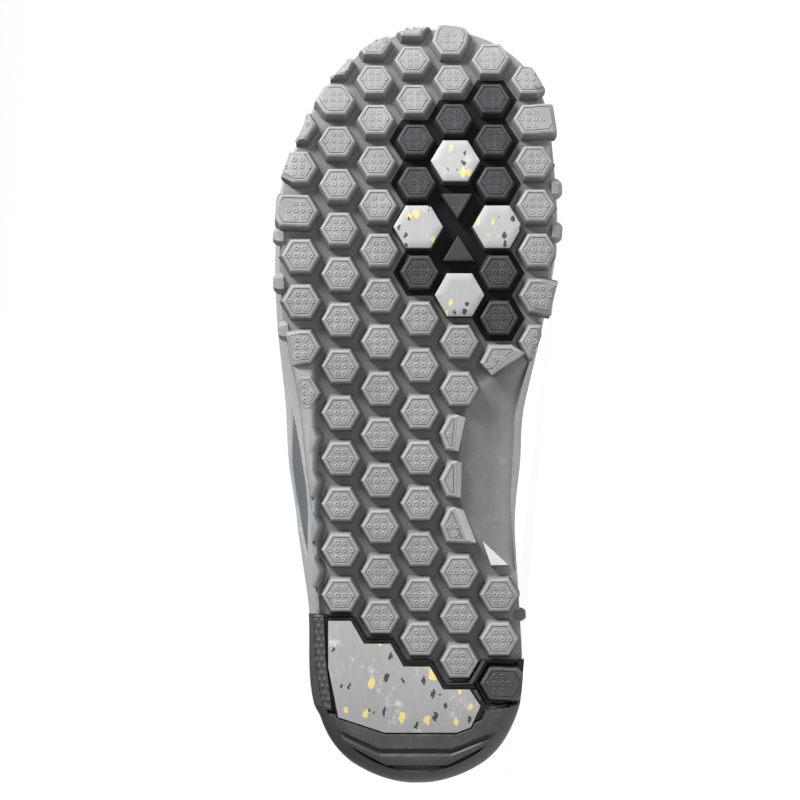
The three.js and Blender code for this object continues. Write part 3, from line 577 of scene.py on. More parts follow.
class Groups:
    """Node groups that several finishes share, each built once."""

    @staticmethod
    def new(name: str, inputs: dict[str, float], outputs: dict[str, str]) -> tuple:
        """Makes an empty group with its sockets.

        Args:
            name: name of the group.
            inputs: names and default values of its number inputs.
            outputs: names and socket kinds of its outputs.

        Returns:
            The tree, its input node and its output node.
        """
        tree = bpy.data.node_groups.new(name, "ShaderNodeTree")
        for label, value in inputs.items():
            socket = tree.interface.new_socket(label, in_out="INPUT", socket_type="NodeSocketFloat")
            socket.default_value = value
        for label, kind in outputs.items():
            tree.interface.new_socket(label, in_out="OUTPUT", socket_type=kind)
        return tree, tree.nodes.new("NodeGroupInput"), tree.nodes.new("NodeGroupOutput")

    @staticmethod
    def node(tree: bpy.types.NodeTree, kind: str, links: dict | None = None, **settings) -> bpy.types.Node:
        """Adds a node, sets its properties and fills its sockets.

        Args:
            tree: the tree it goes in.
            kind: the node's type.
            links: input name or number to a socket or a plain value.
            settings: the node's own properties.

        Returns:
            The node.
        """
        made = tree.nodes.new(kind)
        for key, value in settings.items():
            setattr(made, key, value)
        for key, value in (links or {}).items():
            if isinstance(value, bpy.types.NodeSocket):
                tree.links.new(value, made.inputs[key])
            else:
                made.inputs[key].default_value = value
        return made

    @classmethod
    def noise(cls, tree, place, scale, detail: float = 3.0, rough: float = 0.6) -> bpy.types.NodeSocket:
        """Noise at a scale on Object coordinates."""
        return cls.node(tree, "ShaderNodeTexNoise", {"Vector": place, "Scale": scale, "Detail": detail,
                                                     "Roughness": rough}).outputs["Fac"]

    @classmethod
    def sums(cls, tree, operation: str, a, b=0.5, clamp: bool = False) -> bpy.types.NodeSocket:
        """One step of arithmetic on two sockets or numbers."""
        return cls.node(tree, "ShaderNodeMath", {0: a, 1: b}, operation=operation,
                        use_clamp=clamp).outputs[0]

    @classmethod
    def band(cls, tree, value, low: float, high: float) -> bpy.types.NodeSocket:
        """Smooth mask that goes from 0 at low to 1 at high."""
        return cls.node(tree, "ShaderNodeMapRange", {"Value": value, "From Min": low, "From Max": high},
                        interpolation_type="SMOOTHSTEP").outputs["Result"]

    @classmethod
    def grain(cls) -> bpy.types.NodeTree:
        """Moulded surface: a fine height, a blotchy tint and a mask of pale dust."""
        tree, given, out = cls.new("moulded_grain", {"Scale": 900.0, "Blotch": 45.0, "Dust": 0.5},
                                   {"Height": "NodeSocketFloat", "Tint": "NodeSocketFloat",
                                    "Dust": "NodeSocketFloat"})
        place = cls.node(tree, "ShaderNodeTexCoord").outputs["Object"]
        fine = cls.noise(tree, place, given.outputs["Scale"])
        blotch = cls.noise(tree, place, given.outputs["Blotch"], 4.0)
        specks = cls.node(tree, "ShaderNodeTexVoronoi", {"Vector": place, "Scale": 420.0})
        small = cls.band(tree, specks.outputs["Distance"], 0.2, 0.12)
        pick = cls.node(tree, "ShaderNodeSeparateColor", {"Color": specks.outputs["Color"]}).outputs["Red"]
        some = cls.band(tree, pick, 0.90, 0.93)
        film = cls.band(tree, cls.noise(tree, place, 160.0, 5.0, 0.7), 0.52, 0.72)
        dust = cls.sums(tree, "MULTIPLY", cls.sums(tree, "MAXIMUM", cls.sums(tree, "MULTIPLY", small, some),
                                                   cls.sums(tree, "MULTIPLY", film, 0.35)),
                        given.outputs["Dust"], True)
        tree.links.new(fine, out.inputs["Height"])
        tree.links.new(blotch, out.inputs["Tint"])
        tree.links.new(dust, out.inputs["Dust"])
        return tree

    @classmethod
    def flecks(cls) -> bpy.types.NodeTree:
        """Chips of two colours scattered in the face of a pad, as two masks.

        Cells lie in the plane of the tread and are stretched along it. Some cells hold a chip: a disc whose
        size the cell settles, and whose edge a fine noise makes ragged.
        """
        tree, given, out = cls.new("pad_flecks", {"Scale": 210.0, "Share": 0.3, "Size": 0.4},
                                   {"Yellow": "NodeSocketFloat", "Black": "NodeSocketFloat",
                                    "Height": "NodeSocketFloat"})
        place = cls.node(tree, "ShaderNodeTexCoord").outputs["Object"]
        axes = cls.node(tree, "ShaderNodeSeparateXYZ", {0: place})
        flat = cls.node(tree, "ShaderNodeCombineXYZ", {0: cls.sums(tree, "MULTIPLY", axes.outputs["X"], 0.62),
                                                       1: axes.outputs["Z"]}).outputs[0]
        warp = cls.node(tree, "ShaderNodeTexNoise", {"Vector": place, "Scale": 620.0, "Detail": 2.0})
        pushed = cls.node(tree, "ShaderNodeVectorMath", {0: warp.outputs["Color"], 1: (0.5, 0.5, 0.5)},
                          operation="SUBTRACT").outputs[0]
        pushed = cls.node(tree, "ShaderNodeVectorMath", {0: pushed, "Scale": 0.0024}, operation="SCALE")
        moved = cls.node(tree, "ShaderNodeVectorMath", {0: flat, 1: pushed.outputs[0]}, operation="ADD")
        total = {"Yellow": None, "Black": None}
        for label, factor, part in (("Yellow", 1.0, 1.0), ("Black", 1.35, 0.6)):
            size = cls.sums(tree, "MULTIPLY", given.outputs["Scale"], factor)
            cells = cls.node(tree, "ShaderNodeTexVoronoi", {"Vector": moved.outputs[0], "Scale": size},
                             voronoi_dimensions="2D")
            parts = cls.node(tree, "ShaderNodeSeparateColor", {"Color": cells.outputs["Color"]})
            reach = cls.sums(tree, "MULTIPLY", cls.sums(tree, "ADD", parts.outputs["Blue"], 0.3),
                             given.outputs["Size"])
            near = cls.sums(tree, "LESS_THAN", cells.outputs["Distance"], reach)
            share = cls.sums(tree, "MULTIPLY", given.outputs["Share"], part)
            chosen = cls.sums(tree, "LESS_THAN", parts.outputs["Red"], share)
            total[label] = cls.sums(tree, "MULTIPLY", near, chosen)
            tree.links.new(total[label], out.inputs[label])
        both = cls.sums(tree, "MAXIMUM", total["Yellow"], total["Black"])
        tree.links.new(both, out.inputs["Height"])
        return tree


@dataclass(frozen=True)
class Finish:
    """Base of every finish: its colours are linear, its heights are in metres."""

    name: str
    color: tuple[float, float, float]
    roughness: float = 0.6

    def start(self) -> tuple:
        """Makes the material with its shader and returns material, tree and shader."""
        material = bpy.data.materials.new(self.name)
        material.use_nodes = True
        material.diffuse_color = (*self.color, 1.0)
        tree = material.node_tree
        shader = tree.nodes["Principled BSDF"]
        return material, tree, shader

    @staticmethod
    def mix(tree, factor, a, b) -> bpy.types.NodeSocket:
        """Mixes two colours by a factor."""
        node = tree.nodes.new("ShaderNodeMix")
        node.data_type = "RGBA"
        colours = [s for s in node.inputs if s.type == "RGBA"]
        factor_socket = next(s for s in node.inputs if s.type == "VALUE")
        for socket, value in ((factor_socket, factor), (colours[0], a), (colours[1], b)):
            if isinstance(value, bpy.types.NodeSocket):
                tree.links.new(value, socket)
            else:
                socket.default_value = (*value, 1.0) if isinstance(value, tuple) else value
        return next(s for s in node.outputs if s.type == "RGBA")

    @staticmethod
    def bump(tree, shader, height, distance: float, strength: float = 1.0, under=None) -> bpy.types.NodeSocket:
        """Feeds a height to the shader's normal and returns the normal."""
        node = tree.nodes.new("ShaderNodeBump")
        node.inputs["Distance"].default_value = distance
        node.inputs["Strength"].default_value = strength
        tree.links.new(height, node.inputs["Height"])
        if under is not None:
            tree.links.new(under, node.inputs["Normal"])
        tree.links.new(node.outputs["Normal"], shader.inputs["Normal"])
        return node.outputs["Normal"]


@dataclass(frozen=True)
class Rubber(Finish):
    """Moulded rubber: colour by the shade attribute, which paints shade from the raised faces down into the hollows
    and onto the walls, and a painted highlight where it is below zero.
    """

    # Colour of the painted shade, which the shade attribute fades to in hollows and on walls
    painted_shade: tuple[float, float, float] = (0.1, 0.1, 0.1)
    dust_color: tuple[float, float, float] = (0.5, 0.5, 0.5)
    dust: float = 0.5
    # Colour of the painted highlight on slanted cut faces, where the shade attribute is below zero
    painted_highlight_color: tuple[float, float, float] = (0.42, 0.42, 0.42)
    contrast: float = 0.25
    grain_height: float = 0.00012
    specular: float = 0.4

    def build(self, grain: bpy.types.NodeTree) -> bpy.types.Material:
        """Makes the material.

        Args:
            grain: the shared grain group.

        Returns:
            The material.
        """
        material, tree, shader = self.start()
        group = Groups.node(tree, "ShaderNodeGroup", node_tree=grain)
        group.inputs["Dust"].default_value = self.dust
        shade = Groups.node(tree, "ShaderNodeAttribute", attribute_name="shade").outputs["Fac"]
        # Painted shade: mixes from the rubber's colour to the shade colour as the shade attribute rises
        base = self.mix(tree, shade, self.color, self.painted_shade)
        # Painted highlight: lightens to the highlight colour where the shade attribute falls below zero
        base = self.mix(tree, Groups.band(tree, shade, -0.05, -0.75), base, self.painted_highlight_color)
        dark = self.mix(tree, Groups.sums(tree, "MULTIPLY", Groups.band(tree, group.outputs["Tint"], 0.35, 0.75),
                                          self.contrast), base, tuple(0.6 * c for c in self.painted_shade))
        open_face = Groups.band(tree, shade, 1.0, 0.4)
        final = self.mix(tree, Groups.sums(tree, "MULTIPLY", group.outputs["Dust"], open_face), dark,
                         self.dust_color)
        tree.links.new(final, shader.inputs["Base Color"])
        rough = Groups.node(tree, "ShaderNodeMapRange", {"Value": group.outputs["Tint"],
                                                         "To Min": self.roughness - 0.08,
                                                         "To Max": self.roughness + 0.12}).outputs["Result"]
        tree.links.new(rough, shader.inputs["Roughness"])
        shader.inputs["Specular IOR Level"].default_value = self.specular
        self.bump(tree, shader, group.outputs["Height"], self.grain_height, 0.6)
        return material


@dataclass(frozen=True)
class Speckled(Finish):
    """Pale grip compound with yellow and black chips, chalky scuffs and painted shade on its walls."""

    yellow: tuple[float, float, float] = (0.5, 0.4, 0.14)
    black: tuple[float, float, float] = (0.025, 0.025, 0.028)
    # Colour of the painted shade on the pad's side walls, where the shade attribute is high
    wall: tuple[float, float, float] = (0.03, 0.03, 0.032)
    scale: float = 330.0
    share: float = 0.2
    size: float = 0.33
    scuff: float = 0.3
    streak: float = 0.15

    def build(self, grain: bpy.types.NodeTree, flecks: bpy.types.NodeTree) -> bpy.types.Material:
        """Makes the material from the shared grain and fleck groups."""
        material, tree, shader = self.start()
        moulded = Groups.node(tree, "ShaderNodeGroup", node_tree=grain)
        chips = Groups.node(tree, "ShaderNodeGroup", node_tree=flecks)
        for label, value in (("Scale", self.scale), ("Share", self.share), ("Size", self.size)):
            chips.inputs[label].default_value = value
        base = self.mix(tree, Groups.sums(tree, "MULTIPLY", moulded.outputs["Tint"], 0.25), self.color,
                        tuple(0.7 * c for c in self.color))
        place = Groups.node(tree, "ShaderNodeTexCoord").outputs["Object"]
        stretched = Groups.node(tree, "ShaderNodeVectorMath", {0: place, 1: (0.08, 1.0, 1.0)},
                                operation="MULTIPLY").outputs[0]
        lines = Groups.band(tree, Groups.noise(tree, stretched, 1500.0, 3.0), 0.42, 0.66)
        base = self.mix(tree, Groups.sums(tree, "MULTIPLY", lines, self.streak), base,
                        tuple(1.5 * c for c in self.color))
        worn = Groups.band(tree, Groups.noise(tree, place, 75.0, 6.0, 0.75), 0.56, 0.68)
        base = self.mix(tree, Groups.sums(tree, "MULTIPLY", worn, self.scuff), base, (0.5, 0.5, 0.495))
        base = self.mix(tree, chips.outputs["Yellow"], base, self.yellow)
        base = self.mix(tree, chips.outputs["Black"], base, self.black)
        shade = Groups.node(tree, "ShaderNodeAttribute", attribute_name="shade").outputs["Fac"]
        # Painted shade on the pad's walls, by the shade attribute
        base = self.mix(tree, Groups.band(tree, shade, 0.2, 0.7), base, self.wall)
        tree.links.new(base, shader.inputs["Base Color"])
        shader.inputs["Roughness"].default_value = self.roughness
        normal = self.bump(tree, shader, moulded.outputs["Height"], 0.00008, 0.5)
        self.bump(tree, shader, chips.outputs["Height"], 0.00006, 0.5, normal)
        return material


@dataclass(frozen=True)
class Cloth(Finish):
    """Woven or felted cloth: a fine cross weave on Object coordinates over a soft mottle."""

    threads: float = 1100.0
    relief: float = 0.00018
    fleece: float = 0.0
    sheen: float = 0.2

    def build(self) -> bpy.types.Material:
        """Makes the material."""
        material, tree, shader = self.start()
        place = Groups.node(tree, "ShaderNodeTexCoord").outputs["Object"]
        parts = Groups.node(tree, "ShaderNodeSeparateXYZ", {0: place})
        waves = [Groups.sums(tree, "SINE", Groups.sums(tree, "MULTIPLY", parts.outputs[axis],
                                                       self.threads * math.pi))
                 for axis in ("X", "Y", "Z")]
        weave = Groups.sums(tree, "MULTIPLY", waves[0], Groups.sums(tree, "ADD", waves[1], waves[2]))
        fuzz = Groups.noise(tree, place, 700.0, 5.0, 0.7)
        curl = Groups.noise(tree, place, 260.0, 4.0, 0.65)
        height = Groups.sums(tree, "ADD", Groups.sums(tree, "MULTIPLY", weave, 0.3 * (1 - self.fleece)),
                             Groups.sums(tree, "ADD", fuzz, Groups.sums(tree, "MULTIPLY", curl,
                                                                        3 * self.fleece)))
        mottle = Groups.band(tree, Groups.noise(tree, place, 55.0, 4.0), 0.3, 0.75)
        tint = self.mix(tree, mottle, tuple(0.8 * c for c in self.color), tuple(1.25 * c for c in self.color))
        tint = self.mix(tree, Groups.sums(tree, "MULTIPLY", Groups.band(tree, fuzz, 0.55, 0.8), 0.35), tint,
                        tuple(min(2.2 * c, 1.0) for c in self.color))
        tree.links.new(tint, shader.inputs["Base Color"])
        shader.inputs["Roughness"].default_value = self.roughness
        shader.inputs["Sheen Weight"].default_value = self.sheen
        shader.inputs["Sheen Roughness"].default_value = 0.5
        self.bump(tree, shader, height, self.relief * (1 + 3 * self.fleece), 0.7)
        return material


@dataclass(frozen=True)
class BadgePlastic(Finish):
    """Bare badge: a dark satin plate with a fine even grain."""

    def build(self, grain: bpy.types.NodeTree) -> bpy.types.Material:
        """Makes the material from the shared grain group."""
        material, tree, shader = self.start()
        moulded = Groups.node(tree, "ShaderNodeGroup", node_tree=grain)
        base = self.mix(tree, moulded.outputs["Tint"], self.color, tuple(1.6 * c for c in self.color))
        tree.links.new(base, shader.inputs["Base Color"])
        shader.inputs["Roughness"].default_value = self.roughness
        self.bump(tree, shader, moulded.outputs["Height"], 0.00005, 0.5)
        return material


# Sub-assemblies


@dataclass
class Outsole:
    """Grey rubber shell sole: floor, rounded edge, lateral rail, smooth arch, lugs and side studs."""

    floor_depth: float = 5.0
    rail_edge: float = -42.0
    rail_lean: float = 0.016
    rail_slope: float = 2.9
    edge_recess: float = 1.0
    arch_rise: float = 4.0
    stations: int = 300
    across: int = 150

    def rail(self, x: np.ndarray, y: np.ndarray) -> np.ndarray:
        """How much of the lateral rail there is: 1 on its crown, falling to 0 at the groove floor."""
        share = x / SOLE.length
        run = ease(share, 0.185, 0.215) * ease(share, 0.58, 0.5)
        edge = self.rail_edge - self.rail_lean * np.maximum(x - 70.0, 0.0)
        return run * ease(y, edge + self.rail_slope, edge)

    def floor(self, x: np.ndarray, y: np.ndarray) -> np.ndarray:
        """Depth of the groove floor: level, less the rail, more the arch, sunk under the dark pieces."""
        depth = self.floor_depth + 0.12 * ripple(x, y, 23.0, 3)
        depth = depth - (self.floor_depth - 0.45) * self.rail(x, y)
        arch = ARCH_MAP(x, y)
        width = np.maximum(OUTLINE_MAP(x, y), 0.0) + np.maximum(arch, 0.0)
        scoop = np.clip(np.maximum(arch, 0.0) / np.maximum(width, 1.0), 0, 1)
        depth = depth + (self.arch_rise * scoop ** 1.2 - 1.0 * ease(arch, 0.0, 2.0)) * (arch > 0)
        depth = depth + 2.0 * ease(insert_distance(x, y), 0.8, 2.4)
        return depth + 2.0 * ease(HEEL_MAP(x, y), 0.4, 1.8)

    def shell(self) -> Sheet:
        """Shell through closed sections: up the medial wall, over the top and down the lateral wall."""
        turn = np.linspace(0.03, math.pi - 0.03, self.stations)[:, None]
        share = (1 - np.cos(turn)) / 2
        heights = np.linspace(SOLE.depth, self.floor_depth, 10)[None, :]
        x_side = share * SOLE.length
        edges = []
        for side in (-1.0, 1.0):
            start_x, start_y = SOLE.outline(turn, side)
            sunk = 1.3 * ease(HEEL_MAP(start_x, start_y), 0.3, 1.5)
            lugged = ease(start_x / SOLE.length, 0.55, 0.6) * self.edge_recess
            inset = SOLE.edge_inset(share, heights) + sunk + lugged * ease(heights, SOLE.depth, 9.0)
            x, y = SOLE.grown(turn, side, -inset)
            edges.append(np.stack([x, y, np.broadcast_to(heights, x.shape) + SOLE.rise(x)], axis=-1))
        lateral, medial = edges
        mix = np.linspace(0, 1, self.across)[None, 1:-1, None]
        floor = lateral[:, -1:, :2] * (1 - mix) + medial[:, -1:, :2] * mix
        drop = np.maximum(self.floor(floor[..., 0], floor[..., 1]),
                          SOLE.edge_drop(floor[..., 0], OUTLINE_MAP(floor[..., 0], floor[..., 1])))
        low = np.concatenate([floor, (drop + SOLE.rise(floor[..., 0]))[..., None]], axis=-1)
        back = np.linspace(1, 0, 6)[None, 1:-1, None]
        top = lateral[:, :1] * (1 - back) + medial[:, :1] * back
        rings = np.concatenate([lateral, low, medial[:, ::-1], top], axis=1)
        # Painted shade: walls and top at a mid shade, groove floor darker further in from the outline and none on the
        # rail, arch darker further in
        shade = np.full(rings.shape[:2], 0.35)
        inset = OUTLINE_MAP(floor[..., 0], floor[..., 1])
        raised = self.rail(floor[..., 0], floor[..., 1])
        arch = ease(ARCH_MAP(floor[..., 0], floor[..., 1]), -0.5, 1.5)
        painted_shade = (0.45 + 0.5 * ease(inset, 2.0, 14.0)) * (1 - raised)
        shade[:, 10:10 + floor.shape[1]] = painted_shade * (1 - arch) + arch * (0.28 + 0.42 * ease(inset, 0.0, 11.0))
        sheet = Sheet()
        sheet.add_tube(rings[:, ::-1], shade[:, ::-1])
        return sheet

    @staticmethod
    def buried(sheet: Sheet) -> None:
        """Adds the lugs half buried in the lateral rail, each a half hexagon with slanted walls."""
        inner = BURIED_FACE * np.array([0.86, 0.8]) + np.array([0.0, -0.6])
        outlines = (BURIED_FOOT, BURIED_FOOT, BURIED_FACE, inner)
        # Painted shade, full on the walls and light on the face
        shade = np.array([1.0, 0.95, 0.2, 0.1])[:, None]
        for tip in BURIED_TIPS:
            rings = [np.concatenate([tip + outline, np.full((len(outline), 1), depth)], axis=1)
                     for outline, depth in zip(outlines, (8.0, 5.1, 0.55, 0.3))]
            sheet.add_tube(np.array(rings), shade)

    @staticmethod
    def arch_lugs(sheet: Sheet) -> None:
        """Adds the lugs that the arch cuts: engraved face, bevel, walls in painted shade, and a slanted cut with a
        painted highlight.
        """
        for table in ARCH_LUGS:
            corners, run_out = table[:, :2], table[:, 2:]
            middle = corners.mean(axis=0)
            slanted = run_out > 0.5
            faces = [offset_polygon(corners, -grow) for grow in (0.0, 0.6, 1.3, 1.42, 1.62, 1.75)]
            foot = offset_polygon(corners, 1.25)
            side = np.where(corners[:, 1:] > middle[1], 1.0, 0.0) * run_out
            low = corners + np.concatenate([-0.35 * side, side], axis=1)
            foot = np.where(slanted, low, foot)
            depth = np.where(slanted, 3.4, 4.9)
            rings = [np.concatenate([foot, np.full((len(foot), 1), 9.0)], axis=1),
                     np.concatenate([foot, depth], axis=1)]
            rings += [np.concatenate([face, np.full((len(face), 1), level)], axis=1)
                      for face, level in zip(faces, (0.35, 0.0, 0.0, 0.26, 0.26, 0.0))]
            # Painted highlight on the slanted cut faces, as a shade below zero; painted shade on the walls elsewhere
            painted_highlight = np.where(slanted[:, 0], -0.5, 0.0)
            shade = np.array([1.0, 0.9, 0.05, 0.05, 0.1, 0.6, 0.6, 0.2])[:, None] + 0 * painted_highlight[None]
            shade[1] = np.where(slanted[:, 0], -0.5, 0.9)
            shade[2] = painted_highlight
            sheet.add_tube(np.array(rings), shade)

    @staticmethod
    def wedge() -> Sheet:
        """Three-cornered rest of a lug between the arch and the heel, its face slanting to the arch and given a
        painted highlight.
        """
        corners = np.array([(98.2, 26.4), (88.4, 37.0), (88.6, 29.8)])
        depth = np.array([2.8, 3.9, 0.3])
        middle = corners.mean(axis=0)
        rings = []
        for grow, sink in ((1.3, 9.0), (1.0, 0.0), (0.96, -0.1), (0.4, -0.1)):
            flat = middle + (corners - middle) * grow
            level = np.full(3, sink) if sink > 1 else depth.mean() + (depth - depth.mean()) * grow + sink
            rings.append(np.concatenate([flat, level[:, None]], axis=1))
        sheet = Sheet()
        # Painted shade on the walls and a painted highlight on the slanted face, as a shade below zero
        sheet.add_tube(np.array(rings), np.array([1.0, 0.0, -0.8, -0.8])[:, None])
        return sheet


@dataclass
class LugCutter:
    """Makes hexagonal blocks on the tread, each an engraved level face, a bevel and slanted walls.

    A block near the edge can be swept outwards, and unless cut is off, the outline cuts each block.
    """

    face: float = 5.85
    bevel: float = 0.6
    slant: float = 1.15
    root: float = 5.6
    bevel_drop: float = 0.4
    # Painted shade at the top of the walls
    wall_shade: float = 0.3
    engraved: bool = True
    cut: bool = True
    flush: bool = False
    pole_inset: float = 4.2
    per_edge: int = 9

    def profile(self) -> np.ndarray:
        """Rings from the pole out: half-width, share of it, depth, share of the free reach, and painted shade."""
        top = self.face + self.bevel
        # Painted shade: darker on the face's middle and the engraved line than on the bevel frame, which stands as a
        # painted highlight, and rising down the walls to full at the root
        inner = [(0.3, 0.0, 0.2), (0.6, 0.0, 0.2)]
        if self.engraved:
            inner += [(0.83, 0.0, 0.2), (0.852, 0.26, 0.6), (0.886, 0.26, 0.6), (0.915, 0.0, 0.1)]
        rows = [(self.face, share, depth, 0.95 * share, shade) for share, depth, shade in inner]
        rows += [(self.face, 1.0, 0.0, 0.93, 0.03), (top, 1.0, self.bevel_drop, 0.965, 0.0)]
        fall = self.root - 0.9 - self.bevel_drop
        for share in (0.2, 0.6, 1.0):
            rows.append((top + self.slant * share, 1.0, self.bevel_drop + fall * share, 0.965 + 0.03 * share,
                         self.wall_shade + (0.95 - self.wall_shade) * share))
        rows += [(top + self.slant + 0.35, 1.0, self.root - 0.35, 1.0, 1.0),
                 (top + self.slant + 0.4, 1.0, self.root, 1.0, 1.0), (top, 1.0, self.root + 2.8, 0.86, 1.0)]
        return np.array(rows)

    def envelope(self, x: np.ndarray, y: np.ndarray, past: np.ndarray) -> np.ndarray:
        """Least depth of a block's surface at its rounded outer edge.

        Args:
            x: places along the sole.
            y: places across it.
            past: how far each block may stand out past the outline.

        Returns:
            The depths. A flush block follows the sole's own rounded edge.
        """
        inset = OUTLINE_MAP(x, y)
        if self.flush:
            return SOLE.edge_drop(x, inset + 0.5)
        small = 3.0
        reach = np.clip(small - inset - past, 0, small)
        return small - np.sqrt(small * small - reach * reach)

    def blocks(self, sheet: Sheet, cells: np.ndarray) -> None:
        """Adds a block at each cell.

        Each ring is drawn in along rays from the block's pole until it lies inside the outline, and goes
        at least as deep as the envelope.

        Args:
            sheet: where the blocks go.
            cells: arc length, distance across, sweep outwards and reach past the outline of each.
        """
        rows = self.profile()
        own = SOLE.on_tread(cells[:, 0], cells[:, 1], np.zeros(len(cells)))
        tilt = np.arctan(2 * SOLE.spring_rate * np.maximum(own[:, 0] - SOLE.spring_from, 0))
        past = cells[:, 3]
        inset = OUTLINE_MAP(own[:, 0], own[:, 1])
        step = 0.8
        inward = np.stack([OUTLINE_MAP(own[:, 0] + step, own[:, 1]) - OUTLINE_MAP(own[:, 0] - step, own[:, 1]),
                           OUTLINE_MAP(own[:, 0], own[:, 1] + step) - OUTLINE_MAP(own[:, 0], own[:, 1] - step)],
                          axis=1)
        inward /= np.maximum(np.linalg.norm(inward, axis=1, keepdims=True), 1e-6)
        angle = np.arange(7) * math.pi / 3
        unit = np.stack([np.sin(angle), np.cos(angle)], axis=1) / math.cos(math.pi / 6)
        mix = (np.arange(self.per_edge) / self.per_edge)[None, :, None]
        loop = (unit[:-1, None] * (1 - mix) + unit[1:, None] * mix).reshape(-1, 2)
        outward = -np.einsum("sk,bk->bs", loop, inward) > 1e-6
        sweep = -inward[:, None] * (outward * cells[:, 2:3])[..., None]
        pole = np.zeros((len(cells), 2))
        if self.cut:
            pole = inward * np.clip(self.pole_inset - inset - past, 0, 9)[:, None]
        edge = rows[None, :, 0, None, None] * loop[None, None] + sweep[:, None]
        centre = pole[:, None, None, :]
        push = (edge - centre) * rows[None, :, 1, None, None]
        if self.cut:
            size = np.linalg.norm(push, axis=-1)
            reach = np.linspace(0.0, 18.0, 91)
            way = push[:, -2] / np.linalg.norm(push[:, -2], axis=-1, keepdims=True)
            local = pole[:, None, None] + way[:, :, None] * reach[None, None, :, None]
            x = own[:, 0, None, None] + local[..., 0] * np.cos(tilt)[:, None, None]
            y = own[:, 1, None, None] + local[..., 1]
            room = OUTLINE_MAP(x, y) + past[:, None, None]
            at = np.clip(np.minimum.accumulate(room > 0, axis=-1).sum(axis=-1), 1, len(reach) - 1)
            near = np.take_along_axis(room, at[..., None] - 1, axis=-1)[..., 0]
            far = np.take_along_axis(room, at[..., None], axis=-1)[..., 0]
            part = np.clip(near / np.maximum(near - far, 1e-6), 0, 1)
            limit = np.maximum(reach[at - 1] + reach[1] * part, 0.3)
            left = limit[:, None] * rows[None, :, 3, None] / np.maximum(size, 1e-6)
            push = push * np.minimum(1.0, left)[..., None]
        rings = np.concatenate([centre + np.zeros((1, 1, len(loop), 1)), centre + push], axis=1)
        x = own[:, 0, None, None] + rings[..., 0] * np.cos(tilt)[:, None, None]
        y = own[:, 1, None, None] + rings[..., 1]
        nominal = np.concatenate([[0.0], rows[:, 2]])[None, :, None]
        depth = np.broadcast_to(nominal, x.shape)
        shade = np.broadcast_to(np.concatenate([[0.2], rows[:, 4]])[None, :, None], x.shape)
        if self.cut:
            low = np.minimum(self.envelope(x, y, past[:, None, None]), self.root)
            depth = np.maximum(depth, low + 0.3 * nominal * (low > 0.4))
        points = self.lay(own, tilt, rings, depth)
        pole_numbers = sheet.add_points(points[:, 0, 0], shade[:, 0, 0])
        numbers = sheet.add_points(points[:, 1:], shade[:, 1:])
        sheet.add_quads(np.concatenate([numbers, numbers[..., :1]], axis=-1))
        sheet.add_fan(pole_numbers, numbers[:, 0, ::-1][..., ::-1])

    @staticmethod
    def lay(own: np.ndarray, tilt: np.ndarray, flat: np.ndarray, depth: np.ndarray) -> np.ndarray:
        """Lays flat rings on the tangent plane of the tread at each centre."""
        shape = (slice(None),) + (None,) * (flat.ndim - 2)
        cos, sin = np.cos(tilt)[shape], np.sin(tilt)[shape]
        x = own[:, 0][shape] + flat[..., 0] * cos - depth * sin
        z = own[:, 2][shape] + flat[..., 0] * sin + depth * cos
        return np.stack([x, own[:, 1][shape] + flat[..., 1], z], axis=-1)

    def pips(self, sheet: Sheet, centres: np.ndarray, arch_gap: float = -9.0) -> None:
        """Adds the raised rings on the lug tops: each a low turned rim round a dimple.

        Args:
            sheet: where they go.
            centres: arc length and distance across of each lug.
            arch_gap: least distance that a ring keeps from the edge of the arch.
        """
        spread = np.array([(-3, -1.5), (-3, 1.5), (0, -4.5), (0, -1.5), (0, 1.5), (0, 4.5), (3, -1.5), (3, 1.5)])
        profile = np.array([(0.34, 0.06), (0.52, -0.16), (0.74, -0.27), (0.98, -0.16), (1.18, 0.06)])
        angle = np.arange(10) * 2 * math.pi / 10
        own = SOLE.on_tread(centres[:, 0], centres[:, 1], np.zeros(len(centres)))
        tilt = np.arctan(2 * SOLE.spring_rate * np.maximum(own[:, 0] - SOLE.spring_from, 0))
        flat = spread[None] + np.zeros((len(centres), 1, 1))
        x = own[:, 0, None] + flat[..., 0] * np.cos(tilt)[:, None]
        low = self.envelope(x, own[:, 1, None] + flat[..., 1], centres[:, 3:4])
        keep = (low < 1.2) & (-ARCH_MAP(x, own[:, 1, None] + flat[..., 1]) > arch_gap)
        own_all = np.repeat(own, len(spread), axis=0)[keep.ravel()]
        tilt_all = np.repeat(tilt, len(spread))[keep.ravel()]
        middle, low = flat[keep], low[keep]
        ring = np.stack([np.sin(angle), np.cos(angle)], axis=1)
        local = middle[:, None, None] + profile[None, :, 0, None, None] * ring[None, None]
        depth = low[:, None, None] + profile[None, :, 1, None] + np.zeros(local.shape[:-1])
        points = self.lay(own_all, tilt_all, local, depth)
        pole_depth = low[:, None] + 0.08
        poles = self.lay(own_all, tilt_all, middle[:, None], pole_depth)[:, 0]
        # Painted shade in each dimple, darkest at its middle
        shade = np.array([0.35, 0.0, 0.0, 0.0, 0.12])[None, :, None] + np.zeros(points.shape[:-1])
        pole_numbers = sheet.add_points(poles, 0.55)
        numbers = sheet.add_points(points, shade)
        sheet.add_quads(np.concatenate([numbers, numbers[..., :1]], axis=-1))
        sheet.add_fan(pole_numbers, numbers[:, 0])


def grid_shift(column: int, along: float) -> float:
    """How far a lug stands heelwards of its cell: most in the waist and in the lateral columns."""
    waist = float(ease(along, 190.0, 150.0))
    if column == -3:
        return -2.6
    if column == -2:
        return -0.8 - 0.7 * waist * float(ease(along, 60.0, 90.0))
    return -0.3 - 0.9 * waist * float(ease(along, 50.0, 80.0))


